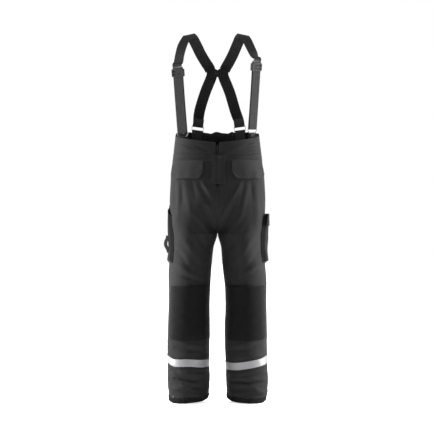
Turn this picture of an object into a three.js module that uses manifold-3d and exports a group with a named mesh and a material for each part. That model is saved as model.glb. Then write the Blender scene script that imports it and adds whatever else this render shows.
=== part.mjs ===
// Firefighter's bunker pants with webbing braces, as an assembly of sewn panels and fittings.
// Millimetres, +Z up, front faces -Y, the wearer's left is +X. Heights are measured up from the
// hem while building, and the whole group is then moved so that the shoulder rest is the origin.
import * as THREE from "three";
import { mergeVertices } from "three/addons/utils/BufferGeometryUtils.js";
import Module from "manifold-3d";

const wasm = await Module();
wasm.setup();

// ---- driving dimensions -------------------------------------------------------------------
const SHOULDER = 1690; // top of the braces above the hem
const CROTCH = 775; // where the two legs part
const HIP = 925; // above this height the trunk is one tube
const YOKE = 1105; // seam between the leg panels and the yokes
const FRONT_TOP = 1190; // front edge at the centre
const SIDE_TOP = 1226; // top edge at the side seams
const BACK_TOP = 1243; // gathered back edge
const CLOTH = 2.2; // shell with its moisture barrier
const SEAM = 0.2; // half the gap between neighbouring panels
const LAYER = 1.2; // gap between a layer and the one under it
const COLUMNS = 12; // facets across a quarter, shared by every layer so that they nest
const ZIP_HALF = 9; // half the zip opening between the front panels
const ZIP_BOTTOM = 1010;
const TAPE_WIDTH = 33; // reflective tape
const STRAP = 50; // brace webbing width
const WEB = 1.6; // brace webbing thickness
const BOX = 0.86; // below 1 it flattens the trunk's ellipse towards a rounded box
const HEM = 24; // bound band round each trouser end
const FLAP_OUT = 5; // how far a flap's outer face stands off the shell
const FLAP_IN = 2.8; // and its inner face

// Heights against half width, front depth and back depth of the trunk and of each leg.
const HALF_WIDTH = [[0, 224], [80, 229], [190, 231], [310, 229], [450, 225], [590, 223],
  [650, 218], [715, 214], [850, 216], [920, 219], [1060, 213], [1130, 204], [1218, 192], [1260, 190]];
const INSEAM = [[0, 42], [190, 36], [310, 34], [450, 36], [550, 34], [645, 25], [715, 17], [775, 0.5]];
const FRONT_DEPTH = [[0, 97], [190, 103], [430, 110], [645, 126], [850, 138], [990, 137], [1260, 121]];
const BACK_DEPTH = [[0, 99], [190, 104], [430, 108], [645, 140], [850, 160], [990, 156], [1260, 138]];

const left = 1;
const right = -1;
const front = -1;
const back = 1;
const SIDES = [["left", left], ["right", right]];

// ---- the body that the cloth follows --------------------------------------------------------
function along(table, z) {
  const last = table.length - 1;
  if (z <= table[0][0]) return table[0][1];
  for (let i = 0; i < last; i++) {
    const [z0, a] = table[i];
    const [z1, b] = table[i + 1];
    if (z <= z1) return a + ((b - a) * (z - z0)) / (z1 - z0);
  }
  return table[last][1];
}

// How far a section has turned from half a trunk (0) into a whole leg (1).
function legShare(z) {
  const s = THREE.MathUtils.clamp((z - CROTCH) / (HIP - CROTCH), 0, 1);
  return 1 - Math.pow(Math.sin((s * Math.PI) / 2), 0.75);
}

// A point of one quarter: u runs from the side seam (0) to the centre or the inseam (1).
function bare(face, side, u, z) {
  const outer = along(HALF_WIDTH, z);
  const inner = z < CROTCH ? along(INSEAM, z) : 0.5;
  const depth = along(face === front ? FRONT_DEPTH : BACK_DEPTH, z);
  const k = legShare(z);
  const trunk = (u * Math.PI) / 2;
  const leg = u * Math.PI;
  const middle = (outer + inner) / 2;
  const sx = Math.pow(Math.max(Math.cos(trunk), 0), BOX);
  const sy = Math.pow(Math.max(Math.sin(trunk), 0), BOX);
  const x = (1 - k) * outer * sx + k * (middle + (outer - middle) * Math.cos(leg));
  const y = (1 - k) * depth * sy + k * depth * Math.sin(leg);
  return new THREE.Vector2(side * x, face * y);
}

// The same point sunk by depth into the body, in its own level plane.
function skin(face, side, u, z, depth) {
  const step = 0.002;
  const a = bare(face, side, Math.max(u - step, 0), z);
  const b = bare(face, side, Math.min(u + step, 1), z);
  const p = bare(face, side, u, z);
  const t = b.sub(a).normalize();
  const inward = new THREE.Vector2(-t.y, t.x).multiplyScalar(face * side);
  if (u <= 0) inward.set(-side, 0);
  if (u >= 1 && z >= HIP) inward.set(0, -face);
  if (u >= 1 && z < CROTCH) inward.set(side, 0);
  p.addScaledVector(inward, depth);
  if (face * p.y < SEAM) p.y = face * SEAM;
  if (side * p.x < SEAM) p.x = side * SEAM;
  return new THREE.Vector3(p.x, p.y, z);
}

// Ways to lay a sheet on the body: its first argument is the place across the sheet.
const quarter = (face, side) => (u, z, d) => skin(face, side, u, z, d);
const across = (face) => (v, z, d) => {
  const p = skin(face, v < 0 ? right : left, 1 - Math.abs(v), z, d);
  if (Math.abs(v) < 1e-6) p.x = 0;
  return p;
};
const flank = (side) => (w, z, d) => {
  const p = skin(w < 0 ? front : back, side, Math.abs(w), z, d);
  if (Math.abs(w) < 1e-6) p.y = 0;
  return p;
};
// t goes once round a leg or, above the crotch, round half of the trunk: 0 at the side seam.
const round = (side) => (t, z, d) => {
  const p = skin(t < 0.5 ? front : back, side, t < 0.5 ? 2 * t : 2 - 2 * t, z, d);
  if (t < 1e-6 || Math.abs(t - 0.5) < 1e-6) p.y = 0;
  return p;
};

// Place across the front at which the body has a given x, found by halving.
function placeOfX(face, x, z) {
  let lo = 0;
  let hi = 1;
  for (let i = 0; i < 30; i++) {
    const mid = (lo + hi) / 2;
    if (bare(face, left, mid, z).x > x) lo = mid;
    else hi = mid;
  }
  return (lo + hi) / 2;
}

// ---- closed meshes -----------------------------------------------------------------------------
const fn = (v) => (typeof v === "function" ? v : () => v);

// A curved slab between two depths, over a range of places and heights that may be functions.
function slab(place, { a, b, low, high, outer, inner, across: nu, up: nv, closed = false }) {
  const [fa, fb, fl, fh, fo, fi] = [a, b, low, high, outer, inner].map(fn);
  const points = [];
  const columns = closed ? nu : nu + 1;
  for (let j = 0; j <= nv; j++) {
    for (let i = 0; i < columns; i++) {
      const s = i / nu;
      const guess = fa(0) + (fb(0) - fa(0)) * s;
      const z = fl(guess) + ((fh(guess) - fl(guess)) * j) / nv;
      const u = fa(z) + (fb(z) - fa(z)) * s;
      points.push(place(u, z, fo(u, z)), place(u, z, fi(u, z)));
    }
  }
  const at = (i, j, k) => 2 * (j * columns + (i % columns)) + k;
  const faces = [];
  const quad = (p, q, r, s) => faces.push(p, q, r, p, r, s);
  for (let j = 0; j < nv; j++) {
    for (let i = 0; i < nu; i++) {
      quad(at(i, j, 0), at(i + 1, j, 0), at(i + 1, j + 1, 0), at(i, j + 1, 0));
      quad(at(i, j, 1), at(i, j + 1, 1), at(i + 1, j + 1, 1), at(i + 1, j, 1));
    }
  }
  for (let i = 0; i < nu; i++) {
    quad(at(i + 1, 0, 0), at(i, 0, 0), at(i, 0, 1), at(i + 1, 0, 1));
    quad(at(i, nv, 0), at(i + 1, nv, 0), at(i + 1, nv, 1), at(i, nv, 1));
  }
  for (let j = 0; j < nv && !closed; j++) {
    quad(at(0, j, 0), at(0, j + 1, 0), at(0, j + 1, 1), at(0, j, 1));
    quad(at(nu, j + 1, 0), at(nu, j, 0), at(nu, j, 1), at(nu, j + 1, 1));
  }
  return facingOut(points, faces);
}

// Builds a geometry and turns it right side out if its volume comes out negative.
function facingOut(points, faces) {
  let volume = 0;
  for (let i = 0; i < faces.length; i += 3) {
    const [p, q, r] = [points[faces[i]], points[faces[i + 1]], points[faces[i + 2]]];
    volume += p.dot(new THREE.Vector3().crossVectors(q, r));
  }
  const index = volume < 0 ? faces.slice().reverse() : faces;
  return new THREE.BufferGeometry().setFromPoints(points).setIndex(index);
}

// A flat ribbon of webbing along hand-set points, each with the direction of its width.
function ribbon(stops, width, thick, steps) {
  const curve = new THREE.CatmullRomCurve3(
    stops.map((s) => new THREE.Vector3(...s.at)), false, "centripetal");
  const points = [];
  for (let i = 0; i <= steps; i++) {
    const t = i / steps;
    const where = t * (stops.length - 1);
    const k = Math.min(Math.floor(where), stops.length - 2);
    const wide = new THREE.Vector3(...stops[k].wide)
      .lerp(new THREE.Vector3(...stops[k + 1].wide), where - k);
    const p = curve.getPoint(t);
    const dir = curve.getTangent(t);
    wide.addScaledVector(dir, -wide.dot(dir)).normalize();
    const up = new THREE.Vector3().crossVectors(dir, wide).normalize();
    for (const [w, h] of [[-1, -1], [1, -1], [1, 1], [-1, 1]]) {
      points.push(p.clone().addScaledVector(wide, (w * width) / 2)
        .addScaledVector(up, (h * thick) / 2));
    }
  }
  const faces = [0, 1, 2, 0, 2, 3];
  for (let i = 0; i < steps; i++) {
    for (let c = 0; c < 4; c++) {
      const [p, q] = [4 * i + c, 4 * i + ((c + 1) % 4)];
      faces.push(p, p + 4, q + 4, p, q + 4, q);
    }
  }
  const e = 4 * steps;
  faces.push(e, e + 2, e + 1, e, e + 3, e + 2);
  return facingOut(points, faces);
}

function solid(geometry) {
  const plain = geometry.clone();
  for (const name of Object.keys(plain.attributes)) {
    if (name !== "position") plain.deleteAttribute(name);
  }
  const merged = mergeVertices(plain, 1e-4);
  return new wasm.Manifold(new wasm.Mesh({
    numProp: 3,
    vertProperties: new Float32Array(merged.attributes.position.array),
    triVerts: new Uint32Array(merged.index.array),
  }));
}

function geometryOf(made) {
  const mesh = made.getMesh();
  return new THREE.BufferGeometry()
    .setAttribute("position", new THREE.BufferAttribute(new Float32Array(mesh.vertProperties), 3))
    .setIndex(new THREE.BufferAttribute(new Uint32Array(mesh.triVerts), 1));
}

const cut = (whole, ...holes) =>
  geometryOf(holes.reduce((s, h) => s.subtract(solid(h)), solid(whole)));
const join = (...pieces) => geometryOf(pieces.map(solid).reduce((s, p) => s.add(p)));

// ---- materials -----------------------------------------------------------------------------
const matte = (color, roughness = 0.9) =>
  new THREE.MeshStandardMaterial({ color, roughness, metalness: 0 });
const SHELL = matte(0x2b2b2c);
const TOUGH = matte(0x202021);
const POCKET = matte(0x161617);
const LINING = matte(0x18191b);
const WEBBING = matte(0x1b1b1c, 0.8);
const PLASTIC = matte(0x121213, 0.45);
const TAPE = matte(0xbcbcc0, 0.4);
const FOAM = matte(0x3a3a3c);
const METAL = new THREE.MeshStandardMaterial({ color: 0x3c3c3e, roughness: 0.35, metalness: 0.9 });

const group = new THREE.Group();
const pants = new THREE.Group();
pants.position.z = -SHOULDER;
group.add(pants);

function add(name, geometry, material) {
  const mesh = new THREE.Mesh(geometry, material);
  mesh.name = name;
  pants.add(mesh);
  return mesh;
}

// ---- shell panels ------------------------------------------------------------------------------
// The zip opening holds the front panels apart at the centre, down to the end of the zip.
function frontEdge(z) {
  if (z < ZIP_BOTTOM - 30) return 1;
  const open = ZIP_HALF * THREE.MathUtils.smoothstep(z, ZIP_BOTTOM - 30, ZIP_BOTTOM);
  return placeOfX(front, open, z);
}

// The front edge dips from the side seams to the centre.
function frontTop(u) {
  return FRONT_TOP + (SIDE_TOP - FRONT_TOP) * (1 - u);
}

// The elastic gathers the back edge into low scallops.
function backTop(v) {
  return SIDE_TOP + (BACK_TOP - SIDE_TOP) * Math.pow(1 - v * v, 0.35) + 2 * Math.cos(20 * v);
}

// The pocket mouth is a long dip in the top edge of the front leg panel.
function frontLegTop(u) {
  const mouth = THREE.MathUtils.smoothstep(u, 0.36, 0.42)
    * (1 - THREE.MathUtils.smoothstep(u, 0.74, 0.8));
  return YOKE - LAYER - 9 * mouth;
}

for (const [word, side] of SIDES) {
  add(`front_leg_${word}`, slab(quarter(front, side),
    { a: 0, b: frontEdge, low: 0, high: frontLegTop, outer: 0, inner: CLOTH,
      across: COLUMNS, up: 14 }), SHELL);
  add(`back_leg_${word}`, slab(quarter(back, side),
    { a: 0, b: 1, low: 0, high: YOKE - LAYER, outer: 0, inner: CLOTH,
      across: COLUMNS, up: 14 }), SHELL);
  add(`front_yoke_${word}`, slab(quarter(front, side),
    { a: 0, b: frontEdge, low: YOKE, high: frontTop, outer: 0, inner: CLOTH,
      across: COLUMNS, up: 3 }), SHELL);
  add(`waist_facing_${word}`, slab(quarter(front, side),
    { a: 1 / COLUMNS, b: 10 / COLUMNS, low: YOKE + 25, high: (u) => frontTop(u) - 3,
      outer: CLOTH + LAYER, inner: CLOTH + LAYER + 1.2, across: 9, up: 2 }), LINING);
}
add("back_yoke", slab(across(back),
  { a: -1, b: 1, low: YOKE, high: SIDE_TOP - 30, outer: 0, inner: CLOTH,
    across: 2 * COLUMNS, up: 3 }), SHELL);
add("back_waistband", slab(across(back),
  { a: -1, b: 1, low: SIDE_TOP - 30 + LAYER, high: backTop, outer: 0, inner: CLOTH,
    across: 4 * COLUMNS, up: 1 }), SHELL);
add("waist_elastic", slab(across(back),
  { a: -11 / COLUMNS, b: 11 / COLUMNS, low: SIDE_TOP - 24, high: SIDE_TOP + 8,
    outer: CLOTH + LAYER, inner: CLOTH + LAYER + 1.4, across: 44, up: 1 }), LINING);

// ---- liners and hems ---------------------------------------------------------------------------
const LINER_TOP = 700;
for (const [word, side] of SIDES) {
  add(`leg_liner_${word}`, slab(round(side),
    { a: 0, b: 1, low: HEM, high: LINER_TOP, outer: 9, inner: 10,
      across: 2 * COLUMNS, up: 9, closed: true }), LINING);
  add(`hem_band_${word}`, slab(round(side),
    { a: 0, b: 1, low: 0, high: HEM, outer: -LAYER - 1.2, inner: -LAYER,
      across: 2 * COLUMNS, up: 1, closed: true }), TOUGH);
}

// ---- reflective tape -----------------------------------------------------------------------------
// The tape rides up towards the outer seam as the trouser leg breaks over the boot.
const tapeMiddle = (t) => 176 + 34 * Math.exp(-Math.pow(Math.min(t, 1 - t) / 0.11, 2));
for (const [word, side] of SIDES) {
  add(`reflective_tape_${word}`, slab(round(side),
    { a: 0, b: 1, low: (t) => tapeMiddle(t) - TAPE_WIDTH / 2, high: (t) => tapeMiddle(t) + TAPE_WIDTH / 2,
      outer: -LAYER - 1.8, inner: -LAYER - 1,
      across: 2 * COLUMNS, up: 1, closed: true }), TAPE);
}

// ---- knees ---------------------------------------------------------------------------------------
const KNEE_LOW = 288;
const KNEE_HIGH = 535;
const KNEE_LIFT = 9;
for (const [word, side] of SIDES) {
  const place = quarter(front, side);
  const shell = slab(place, { a: 2 / COLUMNS, b: 10 / COLUMNS, low: KNEE_LOW,
    high: KNEE_HIGH, outer: -KNEE_LIFT, inner: -LAYER, across: 8, up: 6 });
  const hollow = slab(place, { a: 0.18, b: 0.82, low: KNEE_LOW + 2, high: KNEE_HIGH + 5,
    outer: -KNEE_LIFT + 1.6, inner: -LAYER - 1.4, across: 8, up: 6 });
  add(`knee_pocket_${word}`, cut(shell, hollow), TOUGH);
  add(`knee_pad_${word}`, slab(place, { a: 0.25, b: 0.75, low: KNEE_LOW + 22, high: KNEE_HIGH - 30,
    outer: -KNEE_LIFT + 3, inner: -LAYER - 2.6, across: 6, up: 5 }), FOAM);
}

// ---- front pockets ---------------------------------------------------------------------------------
const BAG_TOP = YOKE + 8;
const BAG_BOTTOM = 945;
for (const [word, side] of SIDES) {
  const place = quarter(front, side);
  const bag = slab(place, { a: 5 / COLUMNS, b: 9 / COLUMNS, low: BAG_BOTTOM, high: BAG_TOP,
    outer: CLOTH + LAYER, inner: 19, across: 4, up: 3 });
  const inside = slab(place, { a: 0.43, b: 0.74, low: BAG_BOTTOM + 1.4, high: BAG_TOP + 5,
    outer: CLOTH + LAYER + 1.2, inner: 17.8, across: 4, up: 3 });
  const mouth = slab(place, { a: 0.44, b: 0.73, low: YOKE - 10, high: YOKE - 0.5,
    outer: CLOTH + LAYER - 3, inner: CLOTH + LAYER + 3, across: 4, up: 1 });
  add(`pocket_bag_${word}`, cut(bag, inside, mouth), LINING);
}

const FLAP_TOP = 1110;
const FLAP_DROP = 82;
const FLAP_NEAR = 10 / COLUMNS; // towards the fly
const FLAP_FAR = 3 / COLUMNS; // towards the side seam
// The flap's lower corners are cut off: its lower edge rises at both ends.
function flapLow(u) {
  const near = THREE.MathUtils.smoothstep(u, FLAP_NEAR - 0.06, FLAP_NEAR);
  const far = 1 - THREE.MathUtils.smoothstep(u, FLAP_FAR, FLAP_FAR + 0.07);
  return FLAP_TOP - FLAP_DROP + 24 * near + 16 * far;
}
for (const [word, side] of SIDES) {
  const place = quarter(front, side);
  add(`pocket_flap_${word}`, slab(place, { a: FLAP_FAR, b: FLAP_NEAR, low: flapLow, high: FLAP_TOP,
    outer: -FLAP_OUT, inner: -FLAP_IN, across: 7, up: 3 }), SHELL);
  add(`flap_fastener_${word}`, slab(place, { a: 5 / COLUMNS, b: 8 / COLUMNS,
    low: FLAP_TOP - FLAP_DROP + 6, high: FLAP_TOP - FLAP_DROP + 28,
    outer: -2.2, inner: -1.2, across: 3, up: 1 }), POCKET);
}

// ---- fly -------------------------------------------------------------------------------------------
const FLY_TOP = 1136;
const FLY_LOW = 1002;
const TOOTH_IN = 0.9;
const TOOTH_OUT = 3.4;
const ZIP_FACE = CLOTH + LAYER + 0.3;
const flyPlace = (x, z, d) => {
  const p = skin(front, x < 0 ? right : left, placeOfX(front, Math.abs(x), z), z, d);
  p.x = x;
  return p;
};
add("fly_flap", slab(flyPlace, { a: -26, b: 34, low: FLY_LOW, high: FLY_TOP,
  outer: -FLAP_OUT, inner: -FLAP_IN, across: 8, up: 2 }), SHELL);
for (const [word, side] of SIDES) {
  const strip = (x0, x1, d0, d1) => slab(flyPlace, { a: side * x0, b: side * x1,
    low: ZIP_BOTTOM - 4, high: 1180, outer: d0, inner: d1, across: 2, up: 2 });
  add(`zip_tape_${word}`, join(strip(TOOTH_OUT - 0.4, 24, ZIP_FACE, ZIP_FACE + 1),
    strip(TOOTH_IN, TOOTH_OUT, ZIP_FACE, ZIP_FACE + 2.6)), LINING);
}
// The slider straddles the teeth: a front plate and a back plate with a thin neck between them.
const SLIDER_Z = 1168;
function sliderPlate(half, z0, z1, d0, d1) {
  return slab(flyPlace, { a: -half, b: half, low: z0, high: z1, outer: d0, inner: d1, across: 2, up: 1 });
}
add("zip_slider", join(
  sliderPlate(5.5, SLIDER_Z - 6, SLIDER_Z + 6, ZIP_FACE - 1.6, ZIP_FACE - 0.5),
  sliderPlate(5.5, SLIDER_Z - 6, SLIDER_Z + 6, ZIP_FACE + 3.1, ZIP_FACE + 4.2),
  sliderPlate(0.35, SLIDER_Z - 3, SLIDER_Z + 3, ZIP_FACE - 0.8, ZIP_FACE + 3.4)), METAL);
add("zip_pull", sliderPlate(3.5, SLIDER_Z - 26, SLIDER_Z + 1, -0.4, 1.3), METAL);
// Snap stud on the yoke and its cap, closing the corner of the fly above the zip.
const disc = (x, z, r, d0, d1) => {
  const axis = flyPlace(x, z, (d0 + d1) / 2);
  return new THREE.CylinderGeometry(r, r, Math.abs(d1 - d0), 20).translate(axis.x, axis.y, axis.z);
};
add("waist_snap_cap", disc(14, 1122, 7.5, -8.4, -5.8), METAL);
add("fly_snap_stud", disc(-18, 1122, 4, -2.2, -1.1), METAL);

// ---- side pockets ------------------------------------------------------------------------------------
const CARGO_LOW = 642;
const CARGO_HIGH = 862;
const cargo = (o) => slab(flank(left), { up: 8, across: 6, ...o });
add("cargo_pocket_left", cut(
  cargo({ a: -2 / COLUMNS, b: 4 / COLUMNS, low: CARGO_LOW, high: CARGO_HIGH,
    outer: -18, inner: -LAYER - 1.6 }),
  cargo({ a: -0.155, b: 0.32, low: CARGO_LOW + 2, high: CARGO_HIGH + 5,
    outer: -16.2, inner: -LAYER - 3.4 })),
POCKET);
add("cargo_flap_left", cargo({ a: -2 / COLUMNS, b: 4 / COLUMNS, low: CARGO_HIGH - 50, high: CARGO_HIGH + 4,
  outer: -21.4, inner: -19.2, up: 2 }), POCKET);
// The tool pocket's mouth slants down towards the front.
const TOOL_LOW = 642;
const toolHigh = (w) => 888 + 160 * w;
const TOOL_LOOP = 20; // width of its webbing loop
const tool = (o) => slab(flank(right), { up: 8, across: 4, ...o });
add("tool_pocket_right", cut(
  tool({ a: -2 / COLUMNS, b: 2 / COLUMNS, low: TOOL_LOW, high: toolHigh, outer: -13, inner: -LAYER - 0.8 }),
  tool({ a: -0.155, b: 0.155, low: TOOL_LOW + 2, high: (w) => toolHigh(w) + 6,
    outer: -11.2, inner: -LAYER - 2.6 })), TOUGH);
const loopStop = (z, d) => ({ at: flank(right)(-0.06, z, d).toArray(), wide: [0, 1, 0] });
add("tool_loop_right", ribbon([loopStop(762, -15.4), loopStop(752, -17), loopStop(738, -24),
  loopStop(727, -27), loopStop(716, -24), loopStop(702, -17), loopStop(692, -15.4)],
TOOL_LOOP, WEB, 18), WEBBING);

// ---- braces ------------------------------------------------------------------------------------
// A frame standing on the garment: X across the strap, Z along it, Y through it.
function stand(origin, wide, along3) {
  const z = along3.clone().normalize();
  const x = wide.clone().addScaledVector(z, -wide.dot(z)).normalize();
  const y = new THREE.Vector3().crossVectors(z, x);
  return new THREE.Matrix4().makeBasis(x, y, z).setPosition(origin);
}

// Webbing folded round a bar at the origin; its two legs leave along Z, up (1) or down (-1).
const FOLD = 3.4;
function foldStops(matrix, first, second, up) {
  const wide = new THREE.Vector3().setFromMatrixColumn(matrix, 0).toArray();
  const bend = 0.72 * FOLD;
  const route = [[-FOLD, first], [-FOLD, Math.min(first, 9)], [-FOLD, 1], [-bend, -bend], [0, -FOLD],
    [bend, -bend], [FOLD, 1], [FOLD, Math.min(second, 9)], [FOLD, second]];
  return route.map(([y, z]) => ({
    at: new THREE.Vector3(0, y, up * z).applyMatrix4(matrix).toArray(), wide }));
}

// A wire ring lying in the frame's XZ plane, from its outline and its hole.
const WIRE = 3;
function wireRing(matrix, outline, hole) {
  const shape = new THREE.Shape(outline.map(([x, z]) => new THREE.Vector2(x, z)).reverse());
  shape.holes.push(new THREE.Path(hole.map(([x, z]) => new THREE.Vector2(x, z))));
  return new THREE.ExtrudeGeometry(shape, { depth: WIRE, bevelEnabled: false })
    .translate(0, 0, -WIRE / 2).rotateX(Math.PI / 2).applyMatrix4(matrix);
}
const mirrored = (half) => [...half, ...half.slice().reverse().map(([x, z]) => [-x, z])];
const SLOT = STRAP / 2 + 1.5; // half the slot that the webbing passes through
const CASE = SLOT + 3.5;

// Front fittings: yaw is how far the strap is turned from facing forwards, rise the height of the
// ring's upper bar and adjuster that of the plastic slider.
const FRONT_FIT = {
  left: { yaw: 45, rise: 1255, adjuster: new THREE.Vector3(177, -80, 1536) },
  right: { yaw: 30, rise: 1237, adjuster: new THREE.Vector3(-180, -80, 1509) },
};
const TAB = 25; // front tab width
const BAR_GAP = 21; // between a ring's two bars
const ABOVE = 26; // webbing that stands above the adjuster
const FRONT_SEAT = 0.3; // place of the rings across the front
const FRONT_SINK = 16; // and how far inside the shell they hang
// The frame on a front ring's upper bar, with Z along the strap, and the way up to its adjuster.
function frontFitting(word, side) {
  const { yaw, rise, adjuster } = FRONT_FIT[word];
  const angle = THREE.MathUtils.degToRad(yaw);
  const wide = new THREE.Vector3(Math.cos(angle), side * Math.sin(angle), 0);
  const bar = skin(front, side, FRONT_SEAT, rise, FRONT_SINK);
  const upward = adjuster.clone().sub(bar);
  return { wide, reach: upward.length(), atBar: stand(bar, wide, upward) };
}
for (const [word, side] of SIDES) {
  const { reach, atBar } = frontFitting(word, side);
  const ring = mirrored([[CASE, WIRE / 2], [CASE, -8], [TAB / 2 + 5, -BAR_GAP - WIRE / 2]]);
  const hole = mirrored([[SLOT, -WIRE / 2], [SLOT, -8], [TAB / 2 + 1.5, -BAR_GAP + WIRE / 2]]);
  add(`front_ring_${word}`, wireRing(atBar, ring, hole), METAL);
  const lowBar = atBar.clone().multiply(new THREE.Matrix4().makeTranslation(0, 0, -BAR_GAP));
  add(`front_tab_${word}`, ribbon(foldStops(lowBar, 34, 34, -1), TAB, WEB, 24), WEBBING);
  add(`brace_loop_${word}`, ribbon(foldStops(atBar, reach + ABOVE, reach + ABOVE, 1), STRAP, WEB, 26),
    WEBBING);
  const slider = atBar.clone().multiply(new THREE.Matrix4().makeTranslation(0, 0, reach));
  const body = new THREE.BoxGeometry(2 * CASE, 14, 34);
  const slot = new THREE.BoxGeometry(2 * SLOT, 2 * FOLD + 3, 40);
  add(`strap_adjuster_${word}`, cut(body, slot).applyMatrix4(slider), PLASTIC);
}

// Back fittings: seat is the place across the back, lean the tilt towards the cross patch.
const BACK_FIT = { left: { seat: 0.658 }, right: { seat: 0.705 } };
const LEAN = THREE.MathUtils.degToRad(7);
const BACK_RISE = 1272;
const BACK_SINK = 12;
const PATCH = new THREE.Vector3(0, 108, 1518);
const PATCH_WIDTH = 116;
const PATCH_HEIGHT = 48;
for (const [word, side] of SIDES) {
  const { seat } = BACK_FIT[word];
  const bar = skin(back, side, seat, BACK_RISE, BACK_SINK);
  const beside = skin(back, side, seat - 0.05, BACK_RISE, BACK_SINK);
  const wide = beside.clone().sub(bar).multiplyScalar(side).setZ(0).normalize();
  const upward = new THREE.Vector3(-side * Math.sin(LEAN), 0, Math.cos(LEAN));
  const atBar = stand(bar, wide, upward);
  const ring = mirrored([[CASE, WIRE / 2], [CASE, -BAR_GAP - WIRE / 2]]);
  const hole = mirrored([[SLOT, -WIRE / 2], [SLOT, -BAR_GAP + WIRE / 2]]);
  add(`back_ring_${word}`, wireRing(atBar, ring, hole), METAL);
  const lowBar = atBar.clone().multiply(new THREE.Matrix4().makeTranslation(0, 0, -BAR_GAP));
  add(`back_tab_${word}`, ribbon(foldStops(lowBar, 44, 44, -1), STRAP, WEB, 24), WEBBING);
  const turned = [0.95, 0, side * 0.28];
  add(`back_strap_${word}`, ribbon([...foldStops(atBar, 36, 20, 1),
    { at: [side * 84, 112, 1340], wide: turned }, { at: [side * 57, 110, 1430], wide: turned },
    { at: [side * 36, PATCH.y, 1492], wide: turned }, { at: [side * 31, PATCH.y, 1508], wide: turned }],
  STRAP, WEB, 44), WEBBING);
}

// The shoulder straps run from above the adjusters over the shoulder to the cross patch.
const SHOULDER_STOPS = {
  left: [[172, -84, 1582], [160, -80, 1605], [146, -66, 1636], [130, -40, 1672], [119, -10, 1689],
    [108, 18, 1684], [92, 50, 1650], [72, 80, 1605], [50, 102, 1562], [44, 107, 1550], [38, 108, 1537]],
  right: [[-179, -84, 1556], [-172, -82, 1592], [-160, -66, 1636], [-144, -40, 1670], [-132, -10, 1689],
    [-120, 18, 1684], [-100, 50, 1650], [-77, 80, 1605], [-52, 102, 1562], [-45, 107, 1550],
    [-38, 108, 1537]],
};
for (const [word, side] of SIDES) {
  const { wide, reach, atBar } = frontFitting(word, side);
  const low = wide.toArray();
  const from = (z) => new THREE.Vector3(0, -FOLD, reach + z).applyMatrix4(atBar).toArray();
  const crest = [0.95, side * 0.25, -side * 0.18];
  const blade = [0.92, 0, -side * 0.45];
  const turn = [low, [1, side * 0.6, 0], [1, side * 0.4, -side * 0.1], crest, crest, crest];
  const stops = SHOULDER_STOPS[word].map((at, i) => ({ at, wide: turn[i] ?? blade }));
  add(`shoulder_strap_${word}`, ribbon([{ at: from(ABOVE + 1), wide: low },
    { at: from(ABOVE + 12), wide: low }, ...stops], STRAP, WEB, 38), WEBBING);
}

// The cross patch holds the four strap ends between two faces, joined down its middle.
const face = (y) => new THREE.BoxGeometry(PATCH_WIDTH, 1.8, PATCH_HEIGHT).translate(0, y, 0);
add("cross_patch", join(face(-3.4), face(3.4), new THREE.BoxGeometry(4, 7, PATCH_HEIGHT - 2))
  .applyMatrix4(new THREE.Matrix4().setPosition(PATCH)), POCKET);

export default group;
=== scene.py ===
"""Firefighter's bunker pants with braces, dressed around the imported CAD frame."""

import math

import bmesh
import bpy
import numpy as np
from mathutils import Matrix, Vector


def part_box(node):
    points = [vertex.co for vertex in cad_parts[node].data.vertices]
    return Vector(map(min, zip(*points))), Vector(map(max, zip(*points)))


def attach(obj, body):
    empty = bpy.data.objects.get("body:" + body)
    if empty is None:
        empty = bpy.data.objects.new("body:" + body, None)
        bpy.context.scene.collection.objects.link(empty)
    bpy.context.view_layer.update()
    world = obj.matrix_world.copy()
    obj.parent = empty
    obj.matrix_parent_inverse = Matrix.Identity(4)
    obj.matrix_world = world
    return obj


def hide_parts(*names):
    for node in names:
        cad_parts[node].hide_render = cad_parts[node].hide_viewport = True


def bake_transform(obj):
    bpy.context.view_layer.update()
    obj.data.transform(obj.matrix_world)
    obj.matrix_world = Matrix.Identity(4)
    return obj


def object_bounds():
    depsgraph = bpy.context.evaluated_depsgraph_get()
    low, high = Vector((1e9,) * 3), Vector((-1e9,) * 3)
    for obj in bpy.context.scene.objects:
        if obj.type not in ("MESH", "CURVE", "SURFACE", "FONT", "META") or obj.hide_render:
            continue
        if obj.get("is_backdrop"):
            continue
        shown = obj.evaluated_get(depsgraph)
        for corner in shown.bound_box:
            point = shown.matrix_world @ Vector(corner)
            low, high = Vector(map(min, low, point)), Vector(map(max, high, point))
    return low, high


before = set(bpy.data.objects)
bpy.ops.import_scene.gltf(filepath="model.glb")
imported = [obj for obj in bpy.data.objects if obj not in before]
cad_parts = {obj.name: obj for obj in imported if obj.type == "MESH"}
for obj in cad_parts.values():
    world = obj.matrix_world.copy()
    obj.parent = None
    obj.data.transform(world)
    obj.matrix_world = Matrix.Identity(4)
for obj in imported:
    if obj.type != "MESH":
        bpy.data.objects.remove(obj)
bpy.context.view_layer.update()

MM = 0.001
FRONT, BACK, LEFT, RIGHT = -1, 1, 1, -1
SIDES = (("left", LEFT), ("right", RIGHT))

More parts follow.
